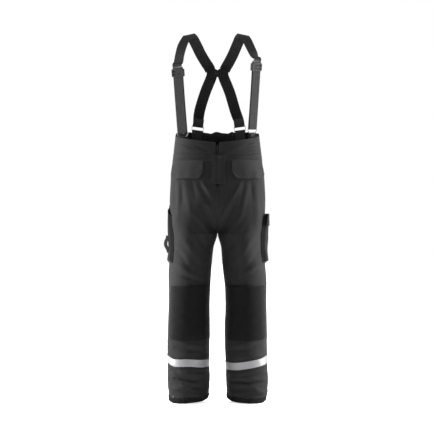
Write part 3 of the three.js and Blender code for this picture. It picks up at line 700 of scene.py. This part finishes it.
def ruched(s, t):
    """Upright gathers over the waist elastic."""
    gathers = 0.9 * np.sin(s * 190 + 2.0 * np.sin(s * 23)) + 0.5 * np.sin(s * 87 + 1.3)
    ends = smoothstep(s, 0, 0.06) * (1 - smoothstep(s, 0.94, 1))
    return gathers * (0.5 + 0.5 * np.sin(math.pi * t)) * ends


def elastic_ripple(s, t):
    return 0.9 * np.sin(s * 120 + 2 * np.sin(s * 31)) * np.sin(math.pi * t) - 0.6


band = cloth("shell_back_waistband", across(BACK), -1, 1, SIDE_TOP - 30.5, back_top, -0.6, CLOTH - 0.6, 300,
             16, rise=ruched)
dress(band, SHELL, ["back_waistband"])
declare(band)
inner = cloth("gathered_waist_elastic", across(BACK), -11 / COLUMNS, 11 / COLUMNS, SIDE_TOP - 24,
              SIDE_TOP + 8, 4.2, 5.4, 280, 10, rise=elastic_ripple)
dress(inner, ELASTIC, ["waist_elastic"])
declare(inner)

# ---- liners and hems ------------------------------------------------------------------------------
for word, side in SIDES:
    place = round_leg(side)
    liner = cloth(f"leg_liner_cloth_{word}", place, 0, 1, 24, 700, 9, 10, 120, 90, closed=True)
    dress(liner, LINING, [f"leg_liner_{word}"])
    declare(liner)
    hem = cloth(f"hem_binding_{word}", place, 0, 1, 0, 24, -2.0, -0.6, 150, 6, closed=True,
                rise=lambda s, t: 0.35 * np.sin(s * 150))
    dress(hem, TOUGH, [f"hem_band_{word}"])
    declare(hem)
    threads += [seam_line(place, np.linspace(0, 1, 420), h, 2.1) for h in (20.5, 4.0)]


# ---- reflective tape ------------------------------------------------------------------------------
TAPE_RUN = {  # share of the way round from the outer seam to the inseam, and the tape's height there
    LEFT: [(0, 205), (0.12, 200), (0.3, 187), (0.5, 176), (0.66, 169), (0.82, 170), (1, 177)],
    RIGHT: [(0, 209), (0.12, 199), (0.24, 185), (0.34, 184), (0.5, 187), (0.7, 182), (1, 182)],
}


def tape_middle(t, side):
    t = np.asarray(t) % 1.0
    where = 2 * np.minimum(t, 1 - t)
    run = np.array(TAPE_RUN[side], float)
    steps = np.linspace(-0.05, 0.05, 7)
    return sum(np.interp(np.abs(where + e), run[:, 0], run[:, 1]) for e in steps) / len(steps)


TAPE_HALF = 16.5
tape_threads = []
for word, side in SIDES:
    place = round_leg(side)
    tape = cloth(f"reflective_band_{word}", place, 0, 1,
                 lambda t, side=side: tape_middle(t, side) - TAPE_HALF,
                 lambda t, side=side: tape_middle(t, side) + TAPE_HALF, -1.9, -0.7, 220, 14, closed=True)
    dress(tape, TAPE, [f"reflective_tape_{word}"])
    declare(tape)
    t_row = np.linspace(0, 1, 500)
    tape_threads += [seam_line(place, t_row, tape_middle(t_row, side) + e, 2.0) for e in (-13.8, 13.8)]

# ---- knees ----------------------------------------------------------------------------------------
def knee_low(u):
    """A curved lower edge with its corners cut."""
    bow = np.abs((np.asarray(u, float) - 0.5) / (4 / COLUMNS))
    return KNEE_LOW + 6 * bow**2 + 12 * smoothstep(bow, 0.86, 1.0)


def knee_swell(s, t):
    """The pad lifts the middle of the pocket, and the cloth pulls in small creases towards its corners."""
    lift = 6.0 * swell(s, t, 0.17, 0.11, 0.0)
    creases = 0.5 * np.sin(s * 17 + t * 21) + 0.45 * np.sin(t * 33 - s * 11 + 2)
    return lift + creases * np.sin(math.pi * s) * np.sin(math.pi * np.clip(t, 0, 1))


for word, side in SIDES:
    place = quarter(FRONT, side)
    pocket = cloth(f"knee_pocket_cloth_{word}", place, 2 / COLUMNS, 10 / COLUMNS, knee_low, KNEE_HIGH, -3.4,
                   -0.8, 80, 90, rise=knee_swell)
    dress(pocket, TOUGH, [f"knee_pocket_{word}"])
    declare(pocket)
    pad = cloth(f"knee_foam_{word}", place, 0.25, 0.75, KNEE_LOW + 22, KNEE_HIGH - 30, -6.2, -3.4, 40, 50)
    dress(pad, FOAM, [f"knee_pad_{word}"])
    for inset in (0.018, 0.038):
        u_row = np.linspace(2 / COLUMNS + inset, 10 / COLUMNS - inset, 110)
        threads += [seam_line(place, u_row, knee_low(u_row) + 260 * inset, 2.75 + 20 * inset)]
        h_col = np.linspace(KNEE_LOW + 16, KNEE_HIGH - 6, 90)
        for u in (2 / COLUMNS + inset, 10 / COLUMNS - inset):
            threads += [seam_line(place, u, h_col, 2.75 + 20 * inset)]

# ---- front pockets --------------------------------------------------------------------------------
BAG_TOP, BAG_BOTTOM = YOKE + 8, 945.0
FLAP_TOP, FLAP_DROP = 1110.0, 82.0
FLAP_NEAR, FLAP_FAR = 10 / COLUMNS, 3 / COLUMNS


def flap_low(u):
    near = smoothstep(u, FLAP_NEAR - 0.06, FLAP_NEAR)
    far = 1 - smoothstep(u, FLAP_FAR, FLAP_FAR + 0.07)
    return FLAP_TOP - FLAP_DROP + 24 * near + 16 * far


def flap_curl(s, t):
    """The free lower edge of a flap lifts and waves a little, most at its outer corner."""
    free = (1 - t) ** 1.6
    rolled = 0.8 * np.sin(s * 19 + 1.2) * free
    lifted = free * (3.2 + 1.8 * np.sin(s * 5.2 + 0.6) + 6.0 * (1 - s) ** 3)
    return lifted + rolled + 3.6 * np.sin(math.pi * t) ** 1.3


def bag_edges(s, t):
    """The back layer of a pocket bag comes forward to the front layer at its edges."""
    return 10.5 * (1 - swell(s, t, 0.2, 0.14, 0.2))


for word, side in SIDES:
    place = quarter(FRONT, side)
    for layer, top, depth, rise in (("front", YOKE - 10, 3.6, None), ("back", BAG_TOP, 16.5, bag_edges)):
        bag = cloth(f"pocket_bag_{layer}_{word}", place, 5 / COLUMNS, 9 / COLUMNS, BAG_BOTTOM, top, depth,
                    depth + 0.9, 36, 44, rise=rise)
        dress(bag, LINING, [f"pocket_bag_{word}"])
        declare(bag)
    flap = cloth(f"pocket_flap_cloth_{word}", place, FLAP_FAR, FLAP_NEAR, flap_low, FLAP_TOP, -4.9, -2.9,
                 72, 36, rise=flap_curl)
    # The flap's lighter cloth is painted light on the same shell fabric.
    dress(flap, FLAP_SHELL_PAINTED_LIGHTER, [f"pocket_flap_{word}"], body=None)
    declare(flap)
    u_row = np.linspace(FLAP_FAR + 0.03, FLAP_NEAR - 0.02, 90)
    s_row = (u_row - FLAP_FAR) / (FLAP_NEAR - FLAP_FAR)
    rows = []
    for inset in (4.0, 9.0):
        h_row = flap_low(u_row) + inset
        t_row = inset / (FLAP_TOP - flap_low(u_row))
        rows.append(seam_line(place, u_row, h_row, 5.0 + flap_curl(s_row, t_row)))
    rows.append(seam_line(place, u_row, FLAP_TOP - 5, 4.75))
    seam = stitches(f"pocket_flap_thread_{word}", rows)
    dress(seam, THREAD, (), body=None)
    hinge = place(0.55, FLAP_TOP - 2, -3.9)
    low_point = place(0.55, FLAP_TOP - 20, -3.9)
    for obj in (flap, seam):
        tuple(hinge)
        tuple(low_point)
        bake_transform(obj)
    pile = cloth(f"flap_hook_and_loop_{word}", place, 5 / COLUMNS, 8 / COLUMNS, FLAP_TOP - FLAP_DROP + 6,
                 FLAP_TOP - FLAP_DROP + 28, -2.1, -0.6, 30, 10)
    dress(pile, PILE, [f"flap_fastener_{word}"])
    declare(pile)

# ---- fly ------------------------------------------------------------------------------------------
FLY_TOP, FLY_LOW = 1136.0, 1002.0
ZIP_FACE = CLOTH + 1.7


def fly_place(x, h, d):
    x, h, d = np.broadcast_arrays(np.asarray(x, float), np.asarray(h, float), np.asarray(d, float))
    u = place_of_x(np.abs(x), h)
    p = np.where((x < 0)[..., None], on_skin(FRONT, RIGHT, u, h, d), on_skin(FRONT, LEFT, u, h, d))
    p[..., 0] = x * MM
    return p


def fly_curl(s, t):
    free = (1 - s) ** 2
    return 0.5 * free * np.sin(t * 9 + 1) + 0.35 * np.sin(t * 23) * np.sin(math.pi * s)


def fly_low(x):
    return FLY_LOW + 8 * smoothstep(-np.asarray(x, float), 12, 26)


fly = cloth("fly_flap_cloth", fly_place, -26, 34, fly_low, FLY_TOP, -4.9, -2.9, 44, 70, rise=fly_curl)
dress(fly, SHELL, ["fly_flap"], body=None)
declare(fly)
h_col = np.linspace(FLY_LOW + 10, FLY_TOP - 3, 70)
rows = [seam_line(fly_place, x, h_col, 4.9) for x in (-23.0, -18.0, 30.5)]
fly_seam = stitches("fly_flap_thread", rows)
dress(fly_seam, THREAD, (), body=None)
fold_from, fold_to = fly_place(32.0, 1070.0, -4.0), fly_place(20.0, 1070.0, -4.0)
for obj in (fly, fly_seam):
    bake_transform(obj)

TOOTH = np.array([1.7, 1.1, 0.55]) * MM  # half sizes across, through and up
TOOTH_PITCH = 1.5
teeth_points, teeth_faces = [], []


def box_into(points, faces, centre, half):
    """Adds a small level box, one tooth of the zip."""
    base = len(points)
    for y in (-1, 1):
        for x, z in ((-1, -1), (1, -1), (1, 1), (-1, 1)):
            points.append(centre + half * (x, y, z))
    faces += [(base, base + 1, base + 2, base + 3), (base + 7, base + 6, base + 5, base + 4)]
    faces += [(base + i, base + 4 + i, base + 4 + (i + 1) % 4, base + (i + 1) % 4) for i in range(4)]


for word, side in SIDES:
    strip = cloth(f"zip_cloth_{word}", fly_place, min(side * 2.6, side * 24), max(side * 2.6, side * 24),
                  ZIP_BOTTOM - 4, 1180, ZIP_FACE + 0.2, ZIP_FACE + 1.0, 12, 60)
    dress(strip, POCKET, [f"zip_tape_{word}"])
    declare(strip)
    for h in np.arange(ZIP_BOTTOM, 1178, TOOTH_PITCH)[0 if side == LEFT else 1 :: 2]:
        box_into(teeth_points, teeth_faces, fly_place(side * 1.8, h, ZIP_FACE + 1.2), TOOTH)
zip_teeth = cleaned(new_object("zip_teeth", teeth_points, teeth_faces, smooth=False))
dress(zip_teeth, BLACK_METAL)


def smooth_block(name, outline, thick, matrix, holes=(), bevel=0.6):
    """A plate cut to an outline in its own XZ plane, with softened edges. Sizes in mm."""
    curve = bpy.data.curves.new(name, "CURVE")
    curve.dimensions = "2D"
    curve.fill_mode = "BOTH"
    curve.extrude = max(thick / 2 - bevel, 0.05) * MM
    curve.bevel_depth = bevel * MM
    curve.bevel_resolution = 3
    loops = [[(x, z, 0) for x, z in loop] for loop in (outline, *holes)]
    return cleaned(from_curve(name, curve, loops, matrix @ Matrix.Rotation(math.pi / 2, 4, "X")), 2e-6)


def rounded(half_x, z0, z1, radius, steps=6):
    """A rounded rectangle as a loop of (x, z)."""
    loop = []
    for cx, cz, start in ((half_x - radius, z1 - radius, 0), (-half_x + radius, z1 - radius, 90),
                          (-half_x + radius, z0 + radius, 180), (half_x - radius, z0 + radius, 270)):
        for k in range(steps + 1):
            a = math.radians(start + 90 * k / steps)
            loop.append((cx + radius * math.cos(a), cz + radius * math.sin(a)))
    return loop


def standing_at(point):
    return Matrix.Translation(Vector([float(c) for c in point]))


SLIDER_H = 1168.0
for key, depth, nodes in (("front", ZIP_FACE - 1.05, ["zip_slider"]), ("back", ZIP_FACE + 3.6, ())):
    at = standing_at(fly_place(0.0, SLIDER_H, depth))
    plate = smooth_block(f"zip_slider_{key}", rounded(5.2, -6, 6, 2.2), 1.2, at, bevel=0.35)
    dress(plate, BLACK_METAL, nodes, body="zip_slider")
at = standing_at(fly_place(0.0, SLIDER_H - 12.5, 0.5))
slot = rounded(1.6, 6.5, 10.5, 1.4)
pull = smooth_block("zip_pull_tab", rounded(3.4, -13, 13, 2.4), 1.4, at, [slot], bevel=0.4)
dress(pull, BLACK_METAL, ["zip_pull"], body="zip_pull")


def turned_knob(name, point, profile, segments=40):
    """A part turned on an axis pointing forwards; profile is (radius, forward) in mm."""
    points, faces = [], []
    for r, y in profile:
        for k in range(segments):
            a = 2 * math.pi * k / segments
            across_it, up_it = r * MM * math.cos(a), r * MM * math.sin(a)
            points.append((point[0] + across_it, point[1] - y * MM, point[2] + up_it))
    for j in range(len(profile) - 1):
        for k in range(segments):
            n = (k + 1) % segments
            faces.append((j * segments + k, j * segments + n, (j + 1) * segments + n, (j + 1) * segments + k))
    last = (len(profile) - 1) * segments
    faces += [tuple(range(segments)), tuple(reversed(range(last, last + segments)))]
    return cleaned(new_object(name, points, faces))


SNAP_H = 1122.0
cap = turned_knob("snap_cap", fly_place(14.0, SNAP_H, -7.1),
                  [(6.2, -1.3), (7.3, -0.9), (7.5, 0), (7.2, 0.7), (6.2, 1.1), (5.2, 1.05), (4.6, 0.7),
                   (2.4, 0.75), (0.4, 0.8)])
dress(cap, BLACK_METAL, ["waist_snap_cap"], body="fly_flap")
hem_snap = turned_knob("hem_snap", on_skin(FRONT, RIGHT, 0.24, 30.0, -2.6),
                       [(4.6, -1.2), (5.2, -0.2), (4.9, 0.5), (3.4, 0.8), (2.6, 0.5), (0.4, 0.5)])
dress(hem_snap, METAL)
stud = turned_knob("snap_stud", fly_place(-18.0, SNAP_H, -1.65),
                   [(3.6, -0.5), (4.0, 0), (3.7, 0.4), (2.4, 0.5), (0.4, 0.5)])
dress(stud, BLACK_METAL, ["fly_snap_stud"])

# ---- side pockets ---------------------------------------------------------------------------------
CARGO_LOW, CARGO_HIGH = 642.0, 862.0


def bellows(s, t):
    """A patch pocket that stands off its leg: steep gusset walls, a slack face and open top."""
    wall = swell(s, t, 0.09, 0.05, 0.0)
    return 13.5 * wall + (0.8 * np.sin(t * 14 + s * 3) + 0.6 * np.sin(s * 12 + 1 + t * 5)) * wall


def cargo_wave(s, t):
    return (1 - t) ** 2 * (0.6 + 0.6 * np.sin(9 * s))


cargo_place = flank(LEFT)
FORE, AFT = -2 / COLUMNS, 4 / COLUMNS  # the cargo pocket's edges, from the side seam
cargo = cloth("cargo_pocket_cloth", cargo_place, FORE, AFT, CARGO_LOW, CARGO_HIGH - 2, -3.6, -1.8, 90, 80,
              rise=bellows)
dress(cargo, POCKET, ["cargo_pocket_left"])
declare(cargo)
cargo_back = cloth("cargo_pocket_back_cloth", cargo_place, FORE, AFT, CARGO_LOW + 2, CARGO_HIGH, -1.7, -0.6,
                   60, 30)
dress(cargo_back, POCKET, ["cargo_pocket_left"])
declare(cargo_back)
cargo_flap = cloth("cargo_flap_cloth", cargo_place, FORE, AFT, CARGO_HIGH - 50, CARGO_HIGH + 4, -20.4, -18.6,
                   80, 24, rise=cargo_wave)
dress(cargo_flap, POCKET, ["cargo_flap_left"], body=None)
declare(cargo_flap)
w_row = np.linspace(FORE + 0.015, AFT - 0.015, 110)
rows = [seam_line(cargo_place, w_row, CARGO_HIGH - drop, proud) for drop, proud in ((46, 21.6), (41, 20.6))]
flap_seam = stitches("cargo_flap_thread", rows)
dress(flap_seam, THREAD, (), body=None)
from_point = cargo_place(1 / COLUMNS, CARGO_HIGH + 1, -19.5)
to_point = cargo_place(1 / COLUMNS, CARGO_HIGH - 12, -19.5)
for obj in (cargo_flap, flap_seam):
    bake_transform(obj)


def tool_high(w):
    return 888 + 160 * np.asarray(w, float)


def tool_swell(s, t):
    return 8.8 * swell(s, t, 0.14, 0.05, 0.0) + 0.6 * np.sin(t * 15 + 4 * s) * np.sin(math.pi * s)


tool_place = flank(RIGHT)
TOOL_HALF = 2 / COLUMNS  # half the tool pocket's width, from the side seam
tool = cloth("tool_pocket_cloth", tool_place, -TOOL_HALF, TOOL_HALF, CARGO_LOW, lambda w: tool_high(w) - 2,
             -2.8, -1.0, 60, 90, rise=tool_swell)
dress(tool, TOUGH, ["tool_pocket_right"])
declare(tool)
tool_back = cloth("tool_pocket_back_cloth", tool_place, -TOOL_HALF, TOOL_HALF, CARGO_LOW + 2, tool_high,
                  -0.9, -0.2, 40, 30)
dress(tool_back, POCKET, ["tool_pocket_right"])
declare(tool_back)
for inset in (0.014, 0.03):
    w_row = np.linspace(-TOOL_HALF + inset, TOOL_HALF - inset, 70)
    threads += [seam_line(tool_place, w_row, CARGO_LOW + 250 * inset, 3.0)]
TOOL_LOOP = ((766, -12.6), (754, -16), (740, -23.5), (727, -26.5), (714, -23.5), (700, -16), (688, -12.6))
loop_stops = [tool_place(-0.06, h, d) for h, d in TOOL_LOOP]
tool_loop = webbing("tool_loop_webbing", loop_stops, [(-0.85, 0.6, 0)] * 7, 20 * MM, 1.6 * MM, 60)
dress(tool_loop, DARK_WEBBING, ["tool_loop_right"])
declare(tool_loop)

# ---- braces ---------------------------------------------------------------------------------------
STRAP, TAB, WEB = 50.0, 25.0, 1.6  # widths of webbing, and its thickness
FOLD = 3.4  # from a bar's middle to the webbing folded round it
FACE_OUT = FOLD + WEB / 2 + 0.05  # where stitches lie on folded webbing
BAR_GAP = 21.0  # between a ring's two bars
ABOVE = 26.0  # webbing above the adjuster's middle
CASE = STRAP / 2 + 5.0  # half the width of an adjuster
RING = CASE - 1.7  # half the width of a ring's wide bar


def even_skin(face, side, u, h, depth):
    """The even body with no folds, where the hard fittings sit. Returns metres."""
    x, y = bare(face, side, np.float64(u), np.float64(h))
    nx, ny = inward(face, side, np.float64(u), np.float64(h))
    return np.array([(x + nx * depth) * MM, (y + ny * depth) * MM, HEM_Z + h * MM])


def stand(origin, wide, upward):
    """A frame with X across the strap, Z along it and Y through it."""
    z = np.array(upward, float) / np.linalg.norm(upward)
    x = np.array(wide, float) - z * np.dot(wide, z)
    x /= np.linalg.norm(x)
    y = np.cross(z, x)
    m = np.eye(4)
    m[:3, 0], m[:3, 1], m[:3, 2], m[:3, 3] = x, y, z, origin
    return m


def moved(m, dx, dy, dz):
    out = m.copy()
    out[:3, 3] += m[:3, 0] * dx * MM + m[:3, 1] * dy * MM + m[:3, 2] * dz * MM
    return out


def fold_stops(m, first, second, up):
    """Webbing folded round a bar at the frame's origin; its legs leave along Z."""
    bend = 0.72 * FOLD
    route = [(-FOLD, first), (-FOLD, min(first, 9)), (-FOLD, 1), (-bend, -bend), (0, -FOLD), (bend, -bend),
             (FOLD, 1), (FOLD, min(second, 9)), (FOLD, second)]
    return [m[:3, 3] + (m[:3, 1] * y + m[:3, 2] * up * z) * MM for y, z in route]


def wire(name, loop, radius, m):
    """A round wire bent into a closed loop of (x, z) in the frame's XZ plane."""
    curve = bpy.data.curves.new(name, "CURVE")
    curve.dimensions = "3D"
    curve.bevel_depth = radius * MM
    curve.bevel_resolution = 6
    made = from_curve(name, curve, [[(x, 0, z) for x, z in loop]], Matrix(m.tolist()))
    made.data.shade_smooth()
    return cleaned(made)


def corner_path(corners, radius, steps=6):
    """A closed path with rounded corners, from its sharp corners."""
    out = []
    count = len(corners)
    for i in range(count):
        p, q, r = (np.array(corners[(i + k) % count], float) for k in (-1, 0, 1))
        a, b = (p - q) / np.linalg.norm(p - q), (r - q) / np.linalg.norm(r - q)
        for t in np.linspace(0, 1, steps + 1):
            start, end = q + a * radius, q + b * radius
            out.append(tuple((1 - t) ** 2 * start + 2 * t * (1 - t) * q + t * t * end))
    return out


FRONT_FIT = {"left": (45, 1255, (177, -80, 1536)), "right": (30, 1237, (-180, -80, 1509))}


def at_height(p):
    return np.array([p[0] * MM, p[1] * MM, HEM_Z + p[2] * MM])


def box_stitch(m, half_x, z0, z1, y):
    """A box of stitches with a cross in it, on the face of webbing."""
    a, b, c, d = (-half_x, z0), (half_x, z0), (half_x, z1), (-half_x, z1)
    out = -m[:3, 1] if y < 0 else m[:3, 1]
    lines = []
    for edge in ((a, b), (b, c), (c, d), (d, a), (a, c), (d, b)):
        ends = [m[:3, 3] + (m[:3, 0] * x + m[:3, 1] * y + m[:3, 2] * z) * MM for x, z in edge]
        lines.append((np.array(ends), np.array([out, out])))
    return lines


front_frames = {}
for word, side in SIDES:
    yaw, rise, adjuster = FRONT_FIT[word]
    angle = math.radians(yaw)
    wide = np.array([math.cos(angle), side * math.sin(angle), 0])
    bar = even_skin(FRONT, side, 0.3, rise, 16)
    upward = at_height(adjuster) - bar
    reach = np.linalg.norm(upward) / MM
    m = stand(bar, wide, upward)
    front_frames[word] = (m, reach, wide)
    low = TAB / 2 + 3.2
    corners = [(RING, 0), (-RING, 0), (-RING, -8), (-low, -BAR_GAP), (low, -BAR_GAP), (RING, -8)]
    ring = wire(f"front_ring_wire_{word}", corner_path(corners, 2.4), 1.5, m)
    dress(ring, METAL, [f"front_ring_{word}"])
    low_bar = moved(m, 0, 0, -BAR_GAP)
    stops = fold_stops(low_bar, 34, 34, -1)
    tab = webbing(f"front_tab_webbing_{word}", stops, [m[:3, 0]] * len(stops), TAB * MM, WEB * MM, 70)
    dress(tab, WEBBING, [f"front_tab_{word}"])
    declare(tab)
    stops = fold_stops(m, reach + ABOVE, reach + ABOVE, 1)
    # A slight slackness in the long run of each layer.
    far = len(stops) - 1
    mid_front = (stops[0] + stops[1]) / 2 - m[:3, 1] * 0.25 * MM
    mid_back = (stops[far] + stops[far - 1]) / 2 - m[:3, 1] * 1.4 * MM
    stops = [stops[0], mid_front, *stops[1:far], mid_back, stops[far]]
    loop = webbing(f"brace_loop_webbing_{word}", stops, [m[:3, 0]] * len(stops), STRAP * MM, WEB * MM, 260)
    dress(loop, WEBBING, [f"brace_loop_{word}"])
    declare(loop)
    rows = box_stitch(moved(m, 0, 0, reach + ABOVE - 14), 20, -9, 9, -FACE_OUT)
    rows += box_stitch(moved(low_bar, 0, 0, -24), 9, -8, 6, -FACE_OUT)
    dress(stitches(f"brace_thread_front_{word}", rows, radius=0.4), THREAD)
    # The adjuster: two thick side rails joined by rounded cross bars in front of and behind the webbing.
    at = moved(m, 0, 0, reach)
    slots = [rounded(STRAP / 2 - 2, 2.2, 11.5, 1.5), rounded(STRAP / 2 - 2, -11.5, -2.2, 1.5)]
    for name, y in (("front", -5.9), ("back", 5.9)):
        plate = Matrix(moved(at, 0, y, 0).tolist())
        outline = rounded(CASE, -17, 17, 4)
        made = smooth_block(f"adjuster_{name}_{word}", outline, 2.2, plate, slots, bevel=0.9)
        dress(made, PLASTIC, [f"strap_adjuster_{word}"], body=f"adjuster_{word}")
    for name, x in (("outer", 1), ("inner", -1)):
        rail = Matrix(moved(at, x * (CASE - 1.6), 0, 0).tolist()) @ Matrix.Rotation(math.pi / 2, 4, "Z")
        outline = rounded(6.9, -16.5, 16.5, 3)
        made = smooth_block(f"adjuster_rail_{name}_{word}", outline, 3.1, rail, bevel=0.8)
        dress(made, PLASTIC, (), body=f"adjuster_{word}")

BACK_FIT = {"left": 0.658, "right": 0.705}
BACK_STOPS = [(84, 112, 1340), (57, 110, 1430), (32, 108, 1492), (26, 108, 1509)]
LEAN = math.radians(7)
for word, side in SIDES:
    seat = BACK_FIT[word]
    bar = even_skin(BACK, side, seat, 1272, 12)
    wide = (even_skin(BACK, side, seat - 0.05, 1272, 12) - bar) * side
    wide[2] = 0
    upward = np.array([-side * math.sin(LEAN), 0, math.cos(LEAN)])
    m = stand(bar, wide, upward)
    corners = [(RING, 0), (-RING, 0), (-RING, -BAR_GAP), (RING, -BAR_GAP)]
    ring = wire(f"back_ring_wire_{word}", corner_path(corners, 3.0), 1.5, m)
    dress(ring, METAL, [f"back_ring_{word}"])
    low_bar = moved(m, 0, 0, -BAR_GAP)
    stops = fold_stops(low_bar, 44, 44, -1)
    tab = webbing(f"back_tab_webbing_{word}", stops, [m[:3, 0]] * len(stops), STRAP * MM, WEB * MM, 80)
    dress(tab, WEBBING, [f"back_tab_{word}"])
    declare(tab)
    turned = (0.95, 0, side * 0.28)
    stops = fold_stops(m, 36, 20, 1)
    stops += [at_height((side * x, y, h)) for x, y, h in BACK_STOPS]
    wides = [m[:3, 0]] * 9 + [turned] * 4
    strap = webbing(f"back_strap_webbing_{word}", stops, wides, STRAP * MM, WEB * MM, 220)
    dress(strap, DARK_WEBBING, [f"back_strap_{word}"])
    declare(strap)
    rows = box_stitch(moved(low_bar, 0, 0, -30), 20, -10, 8, FACE_OUT)
    rows += box_stitch(moved(m, 0, 0, 24), 20, -8, 8, -FACE_OUT)
    dress(stitches(f"brace_thread_back_{word}", rows, radius=0.4), THREAD)

SHOULDER_STOPS = {
    "left": [(172, -84, 1582), (160, -80, 1605), (146, -66, 1636), (130, -40, 1672), (119, -10, 1689),
             (108, 18, 1684), (92, 50, 1650), (72, 80, 1605), (49, 102, 1562), (41, 107, 1549),
             (33, 108, 1533)],
    "right": [(-179, -84, 1556), (-172, -82, 1592), (-160, -66, 1636), (-144, -40, 1670), (-132, -10, 1689),
              (-120, 18, 1684), (-100, 50, 1650), (-77, 80, 1605), (-50, 102, 1562), (-41, 107, 1549),
              (-33, 108, 1533)],
}
for word, side in SIDES:
    m, reach, wide = front_frames[word]
    from_adjuster = [moved(m, 0, -FOLD, reach + ABOVE + z)[:3, 3] for z in (1, 12)]
    crest, blade = (0.95, side * 0.25, -side * 0.18), (0.92, 0, -side * 0.45)
    turn = [(1, side * 0.6, 0), (1, side * 0.4, -side * 0.1), crest, crest, crest] + [blade] * 5
    stops = from_adjuster + [at_height(p) for p in SHOULDER_STOPS[word]]
    wides = [tuple(wide)] * 3 + turn
    strap = webbing(f"shoulder_strap_webbing_{word}", stops, wides, STRAP * MM, WEB * MM, 260)
    dress(strap, DARK_WEBBING, [f"shoulder_strap_{word}"])
    declare(strap)

# The cross patch: two stitched faces with the strap ends between them.
for name, y in (("front", -3.4), ("back", 3.4)):
    at = stand(at_height((0, 108 + y, 1518)), (1, 0, 0), (0, 0, 1))
    outline = [(0, 15), (12, 23), (37, 23), (50, 8), (50, -8), (38, -23), (14, -23), (0, -14)]
    outline = outline + [(-x, z) for x, z in reversed(outline[1:-1])]
    patch = smooth_block(f"cross_patch_{name}", outline, 1.8, Matrix(at.tolist()), bevel=0.8)
    dress(patch, POCKET, ["cross_patch"])
    declare(patch)
    rows = box_stitch(at, 36, -12, 12, -0.95 if y < 0 else 0.95)
    dress(stitches(f"cross_patch_thread_{name}", rows, radius=0.4), THREAD)

seams = stitches("seam_threads", threads)
dress(seams, THREAD)
tape_seams = stitches("tape_threads", tape_threads)
dress(tape_seams, TAPE_THREAD)

# ---- floor, light and camera ----------------------------------------------------------------------
FLOOR_HALF, FLOOR_Z = 30, HEM_Z - 0.002
corners = [(x * FLOOR_HALF, y * FLOOR_HALF, FLOOR_Z) for x, y in ((-1, -1), (1, -1), (1, 1), (-1, 1))]
floor = new_object("studio_floor", corners, [(0, 1, 2, 3)], smooth=False)
paper, _, _, paper_shader = principled("pale_paper", (0.9, 0.9, 0.9), 0.9, specular=0.1)
paper_shader.inputs["Emission Color"].default_value = (1, 1, 1, 1)
paper_shader.inputs["Emission Strength"].default_value = 0.7
floor.data.materials.append(paper)
floor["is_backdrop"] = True

world = bpy.data.worlds.new("studio")
bpy.context.scene.world = world
world.use_nodes = True
world.node_tree.nodes["Background"].inputs["Color"].default_value = (1, 1, 1, 1)
world.node_tree.nodes["Background"].inputs["Strength"].default_value = 1.0


def soft_light(name, place, target, size, power):
    data = bpy.data.lights.new(name, "AREA")
    data.shape = "RECTANGLE"
    data.size, data.size_y = size
    data.energy = power
    obj = linked(name, data)
    obj.location = place
    obj.rotation_euler = (Vector(target) - Vector(place)).to_track_quat("-Z", "Y").to_euler()
    obj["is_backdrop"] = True


soft_light("side_box_left", (2.9, 0.2, -0.3), (0, 0, -0.8), (0.9, 2.2), 560)
soft_light("side_box_right", (-2.9, 0.2, -0.3), (0, 0, -0.8), (0.9, 2.2), 620)
soft_light("top_box", (-0.3, -1.1, 2.4), (0, 0, -0.9), (0.9, 0.7), 90)

camera_data = bpy.data.cameras.new("camera")
camera_data.sensor_width = 36.0
camera_data.lens = 179.9
camera = linked("camera", camera_data)
camera.location = (0, -10.0, -0.841)
camera.rotation_euler = (math.pi / 2, 0, 0)
bpy.context.scene.camera = camera
bpy.context.scene.view_settings.view_transform = "Standard"
bpy.context.scene.view_settings.look = "None"

low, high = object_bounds()
